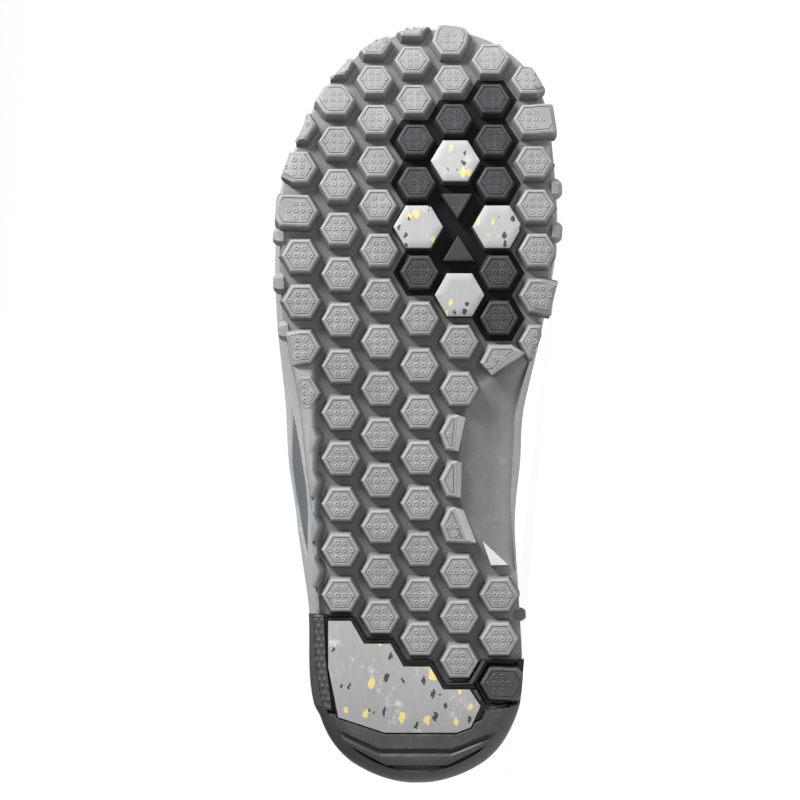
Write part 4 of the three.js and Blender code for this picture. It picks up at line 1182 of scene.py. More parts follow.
def sole_lugs() -> tuple[np.ndarray, np.ndarray]:
    """Cells of the grey lugs, each with its sweep outwards and its reach past the outline.

    Returns:
        The cells that stand free and those that run into the lateral rail.
    """
    taken = set(FOREFOOT_LUGS + FOREFOOT_PADS + ARCH_CELLS + [(c, r) for c, r, _ in FOREFOOT_WEDGES])
    free, merging = [], []
    for column in range(-3, 4):
        for row in range(-8, 11):
            along, across = GRID.cell(column, row)
            x, y, _ = SOLE.on_tread(np.array([along]), np.array([across]), np.zeros(1))[0]
            sweep, past = SWEPT.get((column, row), (0.0, 0.5))
            cell = (along + grid_shift(column, along), across, sweep, past)
            on_sole = OUTLINE_MAP(x, y) > -5.0 and HEEL_MAP(x, y) < 0 and ARCH_MAP(x, y) < 2.2 and x > -4
            waist = column == -3 and row < 2
            if column == -3 and row in (0, 1):
                merging.append(cell)
            elif on_sole and not waist and (column, row) not in taken:
                free.append(cell)
    return np.array(free), np.array(merging)


# Studs on the side wall: side, station as a share of the length, width, and painted shade, full on the small medial
# stud that stands in shadow
STUDS = np.array([
    (-1, 0.586, 7.4, 0.2), (-1, 0.648, 7.8, 0.2), (-1, 0.71, 7.0, 0.2), (1, 0.715, 7.6, 0.2),
    (1, 0.773, 7.6, 0.2), (1, 0.2166, 5.0, 1.0),
])


@dataclass
class SideStuds:
    """Six-sided studs on the side wall."""

    depth: float = 6.4
    squash: float = 0.8

    def add(self, sheet: Sheet) -> None:
        """Adds each stud: hexagonal rings that narrow outwards, square to the outline."""
        angle = np.arange(24) * 2 * math.pi / 24
        corner = np.cos((angle + math.pi / 6) % (math.pi / 3) - math.pi / 6)
        profile = np.array([(1.0, -2.0), (0.98, 0.4), (0.85, 1.3), (0.62, 2.2), (0.55, 2.4)])
        for side, station, width, shade in STUDS:
            turn = math.acos(1 - 2 * station)
            x0, y0 = SOLE.grown(np.array([turn]), side, np.array([0.0]))
            x1, y1 = SOLE.grown(np.array([turn]), side, np.array([1.0]))
            out = np.array([x1[0] - x0[0], y1[0] - y0[0]])
            rings = []
            for share, reach in profile:
                radius = width / 2 * share / corner
                run = radius * np.sin(angle)
                rise = radius * np.cos(angle) * self.squash + self.depth + SOLE.rise(x0)
                rings.append(np.stack([x0 + out[0] * reach - out[1] * run,
                                       y0 + out[1] * reach + out[0] * run, rise], axis=1))
            points = np.array(rings)
            points = points if side < 0 else points[:, ::-1]
            sheet.add_tube(points, shade)


@dataclass
class Forefoot:
    """Dark piece under the ball: its cell plates, lugs, wedges and four speckled pads."""

    depth: float = 4.75

    def plates(self, sheet: Sheet) -> None:
        """Adds a bevelled plate for each cell; corners follow the curved tread, so neighbours meet."""
        cells = FOREFOOT_LUGS + FOREFOOT_PADS + [(c, r) for c, r, _ in FOREFOOT_WEDGES]
        for column, row in cells:
            rings = []
            for width, depth in ((GRID.pitch, 6.4), (GRID.pitch, self.depth), (GRID.pitch * 0.5, self.depth)):
                corners = GRID.corners(column, row, width)
                mix = np.array([0.0, 0.5])[None, :, None]
                loop = (corners[:, None] * (1 - mix) + np.roll(corners, -1, 0)[:, None] * mix).reshape(-1, 2)
                point = SOLE.on_tread(loop[:, 0], loop[:, 1], np.zeros(len(loop)))
                rings.append(point + np.array([0, 0, depth]))
            # Painted shade over the whole plate, the floor between the dark lugs and pads
            sheet.add_tube(np.array(rings)[::-1], 1.0)

    def wedges(self, sheet: Sheet) -> None:
        """Adds the small three-sided lugs between the pads."""
        for column, row, points in FOREFOOT_WEDGES:
            x, y = GRID.cell(column, row)
            reach = GRID.pitch * 0.3
            rings = []
            for grow, depth in ((0.55, 0.0), (0.9, 0.0), (0.97, 0.1), (1.0, 0.35), (1.12, 4.9)):
                corners = np.array([(points * reach, 0), (-points * reach * 0.8, reach * points * 1.1),
                                    (-points * reach * 0.8, -reach * points * 1.1)]) * grow
                loop = (corners[:, None] * (1 - np.linspace(0, 1, 6)[None, :-1, None])
                        + np.roll(corners, -1, 0)[:, None] * np.linspace(0, 1, 6)[None, :-1, None]).reshape(-1, 2)
                place = SOLE.on_tread(x + loop[:, 0], y + loop[:, 1], np.full(len(loop), depth))
                rings.append(place)
            rings = np.array(rings)
            # Painted shade: full on the walls, lighter on the bevel than on the face
            sheet.add_tube(rings[:, ::-1], np.array([0.3, 0.3, 0.1, 0.1, 1.0])[:, None])


@dataclass
class HeelPiece:
    """Dark heel: channel round the pad, grooves over the end, bumpy lateral strip and one lug in its bay."""

    across: int = 300
    along: int = 190
    channel: float = 2.6
    groove: float = 1.5
    strip_from: float = 30.6
    bump_pitch: float = 2.7
    pad_map: DistanceMap = field(default_factory=lambda: DistanceMap(heel_pad_polygon(), 0.5))

    def front(self, y: np.ndarray) -> np.ndarray:
        """Place of the zigzag front edge at a distance across, as straight stretches between corners."""
        corners = border_corners()
        return np.interp(y, corners[:, 1], corners[:, 0])

    def swell(self, x: np.ndarray, y: np.ndarray) -> np.ndarray:
        """How far the heel stands out past the outline: most at the lateral strip, least on the medial side."""
        lateral = 2.1 + 1.1 * ease(x, 26.0, 32.0)
        medial = 1.0 + 0.9 * ease(x, 24.0, 6.0)
        return medial + (lateral - medial) * ease(y, 14.0, -14.0)

    def bay_distance(self, x: np.ndarray, y: np.ndarray) -> np.ndarray:
        """Signed distance into the lug's bay, a cell that is open to the medial side."""
        cx, cy = GRID.cell(*HEEL_LUG)
        angle = (np.arange(6) + 0.5) * math.pi / 3
        reach = [(x - cx) * math.sin(a) + np.minimum(y - cy, 0) * math.cos(a) for a in angle]
        return GRID.pitch / 2 - 0.3 - np.max(reach, axis=0)

    def strip(self, x: np.ndarray, y: np.ndarray) -> np.ndarray:
        """1 on the lateral strip and 0 off it."""
        edge = np.interp(x, STRIP_GROOVE[::-1, 0], STRIP_GROOVE[::-1, 1]) - 0.5
        return (ease(y, edge, edge - 0.5) * ease(x, self.strip_from, self.strip_from + 0.8)
                * ease(HEEL_MAP(x, y), 0.6, 1.6))

    def relief(self, x: np.ndarray, y: np.ndarray) -> np.ndarray:
        """Depth of all that is moulded into the heel's face, below its rounded form."""
        border = HEEL_MAP(x, y)
        pad = self.pad_map(x, y)
        off_strip = 1 - self.strip(x, y)
        channel = ease(border, 3.3, 2.6) * ease(border, 0.3, 0.9) * off_strip * (y > STRIP_GROOVE[0, 1] - 0.5)
        depth = 0.3 * ease(border, 0.8, 0.1) + self.channel * channel
        depth = np.maximum(depth, 1.8 * ease(pad, -0.8, -0.1))
        for path in HEEL_GROOVES:
            past = np.interp(y, path[:, 1], path[:, 0]) - x
            ends = ease(y, path[0, 1] - 1, path[0, 1] + 4) * ease(y, path[-1, 1] + 1, path[-1, 1] - 4)
            depth = depth + self.groove * ends * ease(past, -0.25, 0.45) * ease(past, 3.0, 1.0)
        for path, deep in ((STRIP_GROOVE, 2.8), (STRIP_FOOT, 2.2)):
            depth = np.maximum(depth, deep * ease(path_distance(x, y, path), 0.95, 0.35))
        depth = np.maximum(depth, 2.4 * ease(polygon_distance(x, y, HEEL_CORNER), -0.3, 0.4))
        depth = depth - 0.8 * ease(path_distance(x, y, HEEL_BEAD), 1.2, 0.3)
        row = np.floor(x / self.bump_pitch)
        across = (y / self.bump_pitch + 0.5 * (row % 2)) % 1.0 - 0.5
        bump = np.hypot(x / self.bump_pitch - row - 0.5, across)
        depth = depth + self.strip(x, y) * (0.5 - 0.5 * ease(bump, 0.42, 0.14))
        return np.maximum(depth, 5.0 * ease(self.bay_distance(x, y), -0.35, 0.35))

    def shell(self) -> Sheet:
        """Face and walls of the heel: sections of constant place across, from the back to the front."""
        rows = 12
        walls = np.linspace(SOLE.depth, 1.5, rows)
        middle = np.linspace(0, 1, self.across - 2 * rows)
        across = np.concatenate([np.zeros(rows), middle, np.ones(rows)])[:, None]
        height = np.concatenate([walls, np.full(len(middle), -1.0), walls[::-1]])[:, None]
        along = np.linspace(0, 1, self.along)[None, :]
        reach = np.full((self.across, 1), 58.0)
        for _ in range(4):
            end_turn = np.arccos(1 - 2 * reach / SOLE.length)
            lateral = SOLE.outline(end_turn, -1.0)[1]
            medial = SOLE.outline(end_turn, 1.0)[1]
            reach = self.front(lateral * (1 - across) + medial * across)
        turn = 0.03 + (np.arccos(1 - 2 * reach / SOLE.length) - 0.03) * along
        share = (1 - np.cos(turn)) / 2
        level = np.maximum(height, 1.5)
        edge = SOLE.edge_inset(share, level)
        xl, yl = SOLE.outline(turn, -1.0)
        xm, ym = SOLE.outline(turn, 1.0)
        xl, yl = SOLE.grown(turn, -1.0, self.swell(xl, yl) - edge)
        xm, ym = SOLE.grown(turn, 1.0, self.swell(xm, ym) - edge)
        x = xl * (1 - across) + xm * across
        y = yl * (1 - across) + ym * across
        rounded = SOLE.edge_drop(x, OUTLINE_MAP(x, y) + self.swell(x, y))
        relief = self.relief(x, y)
        bay = 5.0 * ease(self.bay_distance(x, y - np.sign(y)), -0.35, 0.35)
        z = np.where(height < 0, np.maximum(rounded + relief, 0.0), np.maximum(height, bay))
        points = np.stack([x, y, z], axis=-1)
        # Painted shade on the heel: more where the moulded relief is deeper, full on the walls by the bay and round
        # the ends, none on the lateral strip
        shade = np.where(height < 0, 0.25 + 0.75 * ease(relief, 0.5, 1.7), 0.25 + 0.75 * (bay > 1))
        shade = shade * (1 - self.strip(x, y))
        ends = [np.concatenate([points[:, -1, :2], np.maximum(points[:, -1, 2:], drop)], axis=-1)
                for drop in (0.35, 1.2, 6.5)]
        points = np.concatenate([points, np.stack(ends, axis=1)], axis=1)
        shade = np.concatenate([shade, np.ones((self.across, 3))], axis=1)
        sheet = Sheet()
        numbers = sheet.add_points(points, shade)
        sheet.add_quads(numbers[::-1])
        sheet.add_quads(np.stack([numbers[:rows, 0], numbers[::-1][:rows, 0]]))
        return sheet

    def pad(self) -> Sheet:
        """Speckled pad: mitred rings of its outline, shrinking inwards, the last one filled with triangles."""
        sheet = Sheet()
        outline = heel_pad_polygon()
        rings = []
        for grow, depth in ((-0.05, 3.2), (-0.05, 0.62), (-0.12, 0.36), (-0.35, 0.3)):
            corners = offset_polygon(outline, grow)
            rings.append(np.concatenate([corners, np.full((len(corners), 1), depth)], axis=1))
        # Painted shade on the pad's walls
        numbers = sheet.add_points(np.array(rings), np.array([1.0, 0.8, 0.0, 0.0])[:, None])
        closed = np.concatenate([numbers, numbers[:, :1]], axis=1)
        sheet.add_quads(closed)
        flat = [Vector((p[0], p[1], 0)) for p in rings[-1]]
        faces = np.array(tessellate_polygon([flat]))
        sheet.triangles.append(numbers[-1][faces])
        return sheet


@dataclass
class Midsole:
    """Pale side wall that flares out over the outsole, with a rib, a groove and the badge's recess."""

    turns: int = 240
    levels: int = 44
    badge_length: float = 60.0
    arch_flare: float = 0.28
    recess: float = 1.4
    middle: float = 0.385

    def reach(self, share: np.ndarray, side: np.ndarray, rise: np.ndarray) -> np.ndarray:
        """How far the wall stands out: the flare grows up the wall, with a groove below its lip."""
        beside_arch = self.arch_flare * ease(share, 0.3, 0.42) * ease(share, 0.62, 0.5)
        flare = SOLE.flare * np.where(side < 0, SOLE.column(4, share), SOLE.column(5, share) + beside_arch)
        grow = np.interp(rise, [0, 0.12, 0.86, 1], [0, 0.16, 1, 0.95])
        groove = -0.8 * ease(rise, 0.865, 0.88) * ease(rise, 0.935, 0.92)
        lip = -1.3 * np.clip((rise - 0.955) / 0.045, 0, 1) ** 2
        foot = 0.25 * ease(rise, 0.09, 0.04)
        return flare * grow + groove + lip - foot

    def lens(self, x: np.ndarray, rise: np.ndarray) -> np.ndarray:
        """1 inside the badge's recess and 0 outside it."""
        along = (x - self.middle * SOLE.length) / (self.badge_length / 2 + FIT)
        spread = 0.29 * np.maximum(1 - along * along, 0) + 0.02
        return ease(np.abs(rise - 0.5) / spread, 1.12, 0.98) * (np.abs(along) < 1)

    def height(self, x: np.ndarray, rise: np.ndarray) -> np.ndarray:
        """Height of a level of the wall, from the outsole's top to the midsole's."""
        low = SOLE.depth + FIT * 0.2 + SOLE.rise(x)
        return low + (SOLE.top(x) - low) * rise

    def wall(self) -> Sheet:
        """Wall as stacked rings round the sole, capped by strips from side to side."""
        turn = math.pi * (np.arange(self.turns) + 0.5) / self.turns
        turns = np.concatenate([turn, turn[::-1]])[None, :]
        sides = np.concatenate([np.full(self.turns, -1.0), np.full(self.turns, 1.0)])[None, :]
        rise = np.linspace(0, 1, self.levels)[:, None]
        share = (1 - np.cos(turns)) / 2
        grow = self.reach(share, sides, rise)
        x0 = share * SOLE.length
        sunk = self.lens(x0, rise) * (sides < 0) * self.recess
        ribs = (sides > 0) * ease(share, 0.25, 0.3) * ease(share, 0.58, 0.52) * ease(rise, 0.15, 0.25)
        grow = grow - sunk - 0.22 * ribs * (0.5 + 0.5 * np.sin(x0 * 2 * math.pi / 2.2)) * ease(rise, 0.9, 0.82)
        x, y = SOLE.grown(turns, sides, grow)
        points = np.stack([x, y, self.height(x, rise)], axis=-1)
        sheet = Sheet()
        # Painted shade at the wall's foot and in the badge's recess
        numbers = sheet.add_points(points, 0.15 + 0.5 * ease(rise, 0.12, 0.0) + 0.5 * (sunk > 0.3))
        sheet.add_quads(np.concatenate([numbers, numbers[:, :1]], axis=1))
        half = self.turns
        for level, order in ((0, 1), (-1, -1)):
            pair = np.stack([numbers[level, :half], numbers[level, half:][::-1]], axis=0)
            sheet.add_quads(pair[::order])
        return sheet

    def badge(self) -> Sheet:
        """Lens-shaped plate in the recess: a slightly crowned face with its edge turned in."""
        along = np.cos(np.linspace(0, math.pi, 90))[:, None]
        level = np.linspace(-1, 1, 23)[None, :]
        spread = 0.29 * (1 - along * along) + 0.004
        x = self.middle * SOLE.length + (self.badge_length / 2 - FIT) * along + level * 0
        rise = 0.5 + spread * 0.97 * level
        share = x / SOLE.length
        turn = np.arccos(1 - 2 * share)
        out = -self.recess + 0.55 + 0.5 * np.sqrt(np.maximum(1 - level ** 4, 0)) * np.sqrt(1 - along ** 6)
        px, py = SOLE.grown(turn, -1.0, self.reach(share, np.array(-1.0), rise) + out)
        face = np.stack([px, py, self.height(px, rise)], axis=-1)
        bx, by = SOLE.grown(turn, -1.0, self.reach(share, np.array(-1.0), rise) - self.recess + 0.1)
        back = np.stack([bx, by, self.height(bx, rise)], axis=-1)
        sheet = Sheet()
        sheet.add_tube(np.concatenate([face, back[:, ::-1]], axis=1))
        return sheet


# Sections of the upper: top along and rise, foot along and rise, centre, half-width, widest height
LAST = np.array([
    (0.98, 0.08, 0.98, 0.045, 0.092, 0.05, 0),
    (0.974, 0.145, 0.974, 0.005, 0.088, 0.165, -0.2),
    (0.95, 0.19, 0.95, -0.02, 0.073, 0.285, -0.35),
    (0.905, 0.22, 0.905, -0.02, 0.05, 0.382, -0.4),
    (0.845, 0.243, 0.845, -0.02, 0.027, 0.438, -0.45),
    (0.77, 0.27, 0.765, -0.02, 0.008, 0.47, -0.5),
    (0.69, 0.32, 0.67, -0.02, -0.008, 0.472, -0.55),
    (0.615, 0.395, 0.56, -0.02, -0.028, 0.437, -0.55),
    (0.555, 0.48, 0.43, -0.02, -0.035, 0.38, -0.5),
    (0.51, 0.56, 0.28, -0.02, -0.02, 0.358, -0.45),
    (0.48, 0.63, 0.15, -0.02, -0.006, 0.352, -0.38),
    (0.462, 0.69, 0.052, -0.02, 0, 0.342, -0.32),
    (0.45, 0.75, 0.016, 0.08, 0, 0.34, -0.15),
    (0.442, 0.805, 0.014, 0.25, 0, 0.355, -0.05),
    (0.436, 0.865, 0.022, 0.44, 0, 0.38, 0),
    (0.431, 0.93, 0.018, 0.68, 0, 0.41, 0),
    (0.428, 1.01, 0.004, 0.95, 0, 0.435, 0),
])


# Side profiles of the overlays: corners as shares of the sole's length and of the collar's rise
TOE_CAP = np.array([(0.86, -0.1), (0.875, 0.05), (0.915, 0.3), (1.1, 0.4), (1.1, -0.1)])
COUNTER = np.array([(0.2, -0.1), (0.185, 0.12), (0.13, 0.33), (-0.1, 0.42), (-0.1, -0.1)])


@dataclass
class Upper:
    """Hollow upper with its lining, toe cap, heel counter, cuff and footbed."""

    collar_rise: float = 205.0
    wall: float = 2.5
    top_square: float = 2.1
    foot_square: float = 3.4
    overlay: float = 1.6
    place_run: float = 210.0
    angle_run: float = 25.0
    places: int = 230
    angles: int = 144

    def point(self, place: np.ndarray, angle: np.ndarray) -> np.ndarray:
        """Point of the last: a superellipse between a top and a foot place, from toe to collar.

        Args:
            place: 0 at the toe to 1 at the collar.
            angle: turn round the section, up at a quarter turn.

        Returns:
            Points, with their three coordinates last.
        """
        rows = np.arange(len(LAST), dtype=float)
        at = place * (len(LAST) - 1)
        read = [smooth_table(rows, LAST[:, i], at) for i in range(7)]
        top_x, foot_x = read[0] * SOLE.length, read[2] * SOLE.length
        top_z = SOLE.top(top_x) + read[1] * self.collar_rise
        foot_z = SOLE.top(foot_x) + read[3] * self.collar_rise
        up = np.sin(angle)
        square = np.where(up > 0, self.top_square, self.foot_square)
        lift = np.sign(up) * np.abs(up) ** (2 / square)
        height = read[6] + lift * np.where(up > 0, 1 - read[6], 1 + read[6])
        side = np.cos(angle)
        across = (read[4] + read[5] * np.sign(side) * np.abs(side) ** (2 / square)) * SOLE.ball
        share = (height + 1) / 2
        return np.stack(np.broadcast_arrays(foot_x + (top_x - foot_x) * share, across,
                                            foot_z + (top_z - foot_z) * share), axis=-1)

    def grown(self, place: np.ndarray, angle: np.ndarray, grow: np.ndarray) -> np.ndarray:
        """Point of the last moved out square to its surface."""
        step = 0.002
        along = (self.point(np.minimum(place + step, 1.0), angle)
                 - self.point(np.maximum(place - step, 0.0), angle))
        around = self.point(place, angle + step) - self.point(place, angle - step)
        out = np.cross(along, around)
        out /= np.maximum(np.linalg.norm(out, axis=-1, keepdims=True), 1e-9)
        return self.point(place, angle) + out * np.asarray(grow)[..., None]

    def folds(self, place: np.ndarray, angle: np.ndarray) -> np.ndarray:
        """Soft creases where the boot bends: troughs over the instep and ankle, ridges between them.

        Each fold is a bell across its line, fading round the section, given in the boot's own
        sizes: its place from toe to collar, its lean, its width, its depth and the angle it is centred on.
        """
        total = np.zeros(np.broadcast(place, angle).shape)
        table = (
            (0.345, 0.02, 0.012, -0.9, 1.57), (0.385, -0.02, 0.014, -1.1, 1.5), (0.43, 0.03, 0.013, -0.8, 1.7),
            (0.56, 0.03, 0.016, -1.2, 1.57), (0.61, -0.03, 0.018, -1.5, 1.45), (0.66, 0.02, 0.017, -1.1, 1.7),
            (0.72, -0.02, 0.02, -0.9, 1.6), (0.365, 0.0, 0.014, 0.6, 1.57), (0.585, 0.0, 0.018, 0.8, 1.57),
            (0.635, 0.0, 0.018, 0.8, 1.57), (0.8, 0.03, 0.02, -0.8, -1.4), (0.845, -0.03, 0.02, 0.5, -1.5),
            (0.775, 0.0, 0.03, -0.7, 0.1), (0.79, 0.0, 0.03, -0.7, 3.0),
        )
        for middle, lean, width, depth, centre in table:
            away = np.abs((angle - centre + math.pi) % (2 * math.pi) - math.pi)
            line = place - middle - lean * np.sin(angle - centre)
            total += depth * np.exp(-(line / width) ** 2) * np.exp(-(away / 0.95) ** 2)
        return total

    def seam(self, place: np.ndarray, angle: np.ndarray) -> np.ndarray:
        """Shallow stitched grooves: down the back of the shaft and over the vamp at the instep."""
        back = (angle + math.pi / 2 + math.pi) % (2 * math.pi) - math.pi
        groove = 0.7 * np.exp(-(back / 0.022) ** 2) * ease(place, 0.66, 0.7)
        line = place - 0.5 - 0.07 * np.cos(2 * angle)
        return groove + 0.7 * np.exp(-(line / 0.0035) ** 2) * (np.sin(angle) > -0.35)

    def lowest(self, points: np.ndarray, raise_by: float) -> np.ndarray:
        """Keeps points at least a distance above the top of the sole."""
        low = SOLE.top(points[..., 0]) + raise_by
        return np.concatenate([points[..., :2], np.maximum(points[..., 2], low)[..., None]], axis=-1)

    def rings(self, places: np.ndarray) -> tuple[np.ndarray, np.ndarray]:
        """Place and angle of every point on closed rings, one row of points for each place."""
        angle = (np.arange(self.angles) + 0.5)[None, :] * 2 * math.pi / self.angles
        return np.broadcast_arrays(places[:, None], angle)

    def shell(self) -> Sheet:
        """Outer face with its folds and seams, turned in over the collar and joined to the wall inside."""
        places = np.clip(np.linspace(0.0, 1.0, self.places), 0.0001, 1.0)
        place, angle = self.rings(places)
        soft = self.folds(place, angle) * ease(np.sin(angle), -0.7, 0.0) - self.seam(place, angle)
        uneven = 0.25 * ripple(place * 300, angle * 40, 60.0, 5)
        outer = self.lowest(self.grown(place, angle, soft + uneven), FIT)
        inside = np.full(place.shape, -self.wall)
        inner = self.lowest(self.grown(place[::-1], angle, inside), FIT + self.wall)
        sheet = Sheet()
        rings = np.concatenate([outer, inner], axis=0)
        numbers = sheet.add_points(rings, 0.0)
        sheet.add_quads(np.concatenate([numbers, numbers[:, :1]], axis=1))
        for row, ring in ((0, numbers[0][::-1]), (len(rings) - 1, numbers[-1])):
            pole = sheet.add_points(rings[row].mean(axis=0)[None], 0.0)
            sheet.add_fan(pole[0], ring)
        return sheet

    def span(self, profile: np.ndarray, places: np.ndarray, angles: np.ndarray) -> tuple:
        """Where each angle's line from toe to collar runs inside an overlay's side profile.

        Args:
            profile: corners as shares of the sole's length and of the collar's rise above the sole.
            places: places to look at, rising.
            angles: the angles.

        Returns:
            The first and last place inside at each angle, and whether there is any.
        """
        x = profile[:, 0] * SOLE.length
        z = SOLE.ball_stack + SOLE.rise(np.clip(x, 0, SOLE.length)) + profile[:, 1] * self.collar_rise
        points = self.point(*np.broadcast_arrays(places[:, None], angles[None]))
        inside = polygon_distance(points[..., 0], points[..., 2], np.stack([x, z], axis=1))
        held = inside > 0
        columns = np.arange(len(angles))
        first = np.argmax(held, axis=0)
        last = len(places) - 1 - np.argmax(held[::-1], axis=0)
        edges = []
        for here, beyond in ((first, np.maximum(first - 1, 0)), (last, np.minimum(last + 1, len(places) - 1))):
            near, far = inside[here, columns], inside[beyond, columns]
            part = np.clip(near / np.maximum(near - far, 1e-9), 0, 1)
            edges.append(places[here] + (places[beyond] - places[here]) * part)
        return edges[0], edges[1], held.any(axis=0)

    def patch(self, places: tuple[np.ndarray, np.ndarray], angles: np.ndarray, wall: float,
              bead: float = 0.0) -> Sheet:
        """Overlay on the last between two places that change with the angle.

        Args:
            places: the overlay's first and last place at each angle.
            angles: the angles it runs over, from one side edge to the other.
            wall: its thickness.
            bead: how far its rim stands higher than its middle.

        Returns:
            A closed slab: face, rounded rim and back.
        """
        t = np.linspace(0, 1, 70)[:, None]
        place = places[0][None] * (1 - t) + places[1][None] * t
        angle = np.broadcast_to(angles[None], place.shape)
        width = (places[1] - places[0])[None] * self.place_run
        beside = np.minimum(angles - angles[0], angles[-1] - angles)[None] * self.angle_run
        rim = np.minimum(np.minimum(t, 1 - t) * width, beside)
        round_off = np.sqrt(np.clip(rim, 0, 1) * (2 - np.clip(rim, 0, 1)))
        ridge = bead * np.exp(-((rim - 2.2) / 0.7) ** 2)
        face = self.grown(place, angle, FIT * 0.3 + wall * round_off + ridge)
        back = self.grown(place, angle, np.full(place.shape, -0.6))
        face, back = self.lowest(face, FIT), self.lowest(back, FIT)
        sheet = Sheet()
        # Painted shade, darker along the rim and on the back
        top = sheet.add_points(face, 0.1 + 0.4 * (rim < 0.6))
        under = sheet.add_points(back, 0.3)
        sheet.add_quads(top)
        sheet.add_quads(under[::-1])
        border_top = np.concatenate([top[0], top[1:, -1], top[-1, -2::-1], top[-2::-1, 0]])
        border_low = np.concatenate([under[0], under[1:, -1], under[-1, -2::-1], under[-2::-1, 0]])
        sheet.add_quads(np.stack([border_low, border_top]))
        return sheet

    def toe_cap(self) -> Sheet:
        """Rubber cap over the toes: closed rings from the nose back to the edge of its side profile."""
        place, angle = self.rings(np.linspace(0, 1, 70))
        _, end, _ = self.span(TOE_CAP, np.linspace(0.0, 0.4, 400), angle[0])
        rim = np.clip((1 - place) * 40, 0, 1)
        bead = 0.35 * np.exp(-(((1 - place) * 40 - 2.2) / 0.7) ** 2)
        grow = FIT * 0.3 + self.overlay * np.sqrt(rim * (2 - rim)) + bead
        along = 0.0004 + (end[None] - 0.0004) * place
        face = self.lowest(self.grown(along, angle, grow), FIT)
        tuck = self.lowest(self.grown(along[-1:], angle[-1:], np.full((1, self.angles), -0.6)), FIT)
        sheet = Sheet()
        numbers = sheet.add_points(np.concatenate([face, tuck]), 0.1)
        sheet.add_quads(np.concatenate([numbers, numbers[:, :1]], axis=1))
        pole = sheet.add_points(face[0].mean(axis=0)[None], 0.1)
        sheet.add_fan(pole[0], numbers[0][::-1])
        return sheet

    def counter(self) -> Sheet:
        """Stiff cup round the heel, up to the ankle, ended by the edges of its side profile."""
        wide = -math.pi / 2 + np.linspace(-1.7, 1.7, 341)
        places = np.linspace(0.5, 0.98, 500)
        held = self.span(COUNTER, places, wide)[2]
        reach = 0.985 * float(np.min(np.abs(wide + math.pi / 2)[~held], initial=1.7))
        angles = -math.pi / 2 + reach * np.sin(np.linspace(-math.pi / 2, math.pi / 2, 150))
        start, end, _ = self.span(COUNTER, places, angles)
        return self.patch((start, end), angles, self.overlay, 0.35)

    def cuff(self) -> Sheet:
        """Padded band round the collar: two soft rolls with a sewn channel between them."""
        count = self.angles
        angle = (np.arange(count) + 0.5) * 2 * math.pi / count
        t = np.linspace(0, 1, 46)[:, None]
        foot = np.sin(angle)[None] * 0.5 + 0.5
        low = 0.857 + 0.005 * foot
        place = low + (1.0 - low) * t
        belly = np.abs(np.sin(math.pi * (t * 2 % 1.0))) ** 0.55
        pucker = 0.12 * np.sin(angle * 46)[None] * (1 - belly)
        grow = FIT * 0.4 + 0.5 + 2.7 * belly + pucker
        outer = self.grown(*np.broadcast_arrays(place, angle[None]), grow)
        roll = np.linspace(0, math.pi, 9)[1:-1, None]
        rim = self.grown(np.full((1, count), 1.0), angle[None], np.zeros((1, count)))
        lift = np.sin(roll)[..., None] * np.array([0.0, 0.0, 1.6])
        out = self.grown(np.ones((1, count)), angle[None], np.ones((1, count))) - rim
        over = rim + out * (-1.0 + 1.8 * np.cos(roll))[..., None] + lift
        inside = self.grown(*np.broadcast_arrays(place[::-1][:12], angle[None]),
                            np.full((12, count), -self.wall - 0.35))
        sheet = Sheet()
        rings = np.concatenate([outer, over, inside], axis=0)
        numbers = sheet.add_points(rings, 0.0)
        sheet.add_quads(np.concatenate([numbers, numbers[:, :1]], axis=1))
        back = self.grown(*np.broadcast_arrays(place[:1], angle[None]), np.full((1, count), -0.8))
        hem = sheet.add_points(back, 0.0)
        closed = np.concatenate([hem, numbers[:1]], axis=0)
        sheet.add_quads(np.concatenate([closed, closed[:, :1]], axis=1))
        tuck = self.grown(*np.broadcast_arrays(place[::-1][11:12], angle[None]), np.full((1, count), -self.wall + 0.6))
        tail = sheet.add_points(tuck, 0.0)
        closed = np.concatenate([numbers[-1:], tail], axis=0)
        sheet.add_quads(np.concatenate([closed, closed[:, :1]], axis=1))
        return sheet

    def lining(self) -> Sheet:
        """Soft fleece inside, a skin just off the inner wall, from the toe up to below the cuff's own skin."""
        place, angle = self.rings(np.append(np.linspace(0.002, 0.962, 120), 0.963))
        grow = -self.wall - 0.35 + 0.3 * ripple(place * 420, angle * 60, 9.0, 11)
        grow[-1] = -self.wall + 0.6
        rings = self.lowest(self.grown(place, angle, grow), FIT + self.wall + 0.2)
        sheet = Sheet()
        numbers = sheet.add_points(rings[::-1], 0.0)
        sheet.add_quads(np.concatenate([numbers, numbers[:, :1]], axis=1))
        pole = sheet.add_points(rings[0].mean(axis=0)[None], 0.0)
        sheet.add_fan(pole[0], numbers[-1])
        return sheet

    def footbed(self) -> Sheet:
        """Footbed inside: a plate of the last's own lower outline with a soft cupped heel."""
        turn = math.pi * (np.arange(110) + 0.5) / 110
        turns = np.concatenate([turn, turn[::-1]])
        sides = np.concatenate([np.full(110, -1.0), np.full(110, 1.0)])
        rings = []
        for inset, height in ((8.5, 3.2), (8.2, 6.8), (8.6, 7.9), (9.6, 8.1)):
            x, y = SOLE.grown(turns, sides, -inset)
            squeeze = 1 - 0.03 * ease(x, 60, 20)
            rings.append(np.stack([x * 0.965 + 5.0, y * squeeze, SOLE.top(x) + height], axis=-1))
        sheet = Sheet()
        numbers = sheet.add_points(np.array(rings), 0.0)
        sheet.add_quads(np.concatenate([numbers, numbers[:, :1]], axis=1))
        for level, order in ((0, 1), (-1, -1)):
            pair = np.stack([numbers[level, :110], numbers[level, 110:][::-1]], axis=0)
            sheet.add_quads(pair[::order])
        return sheet


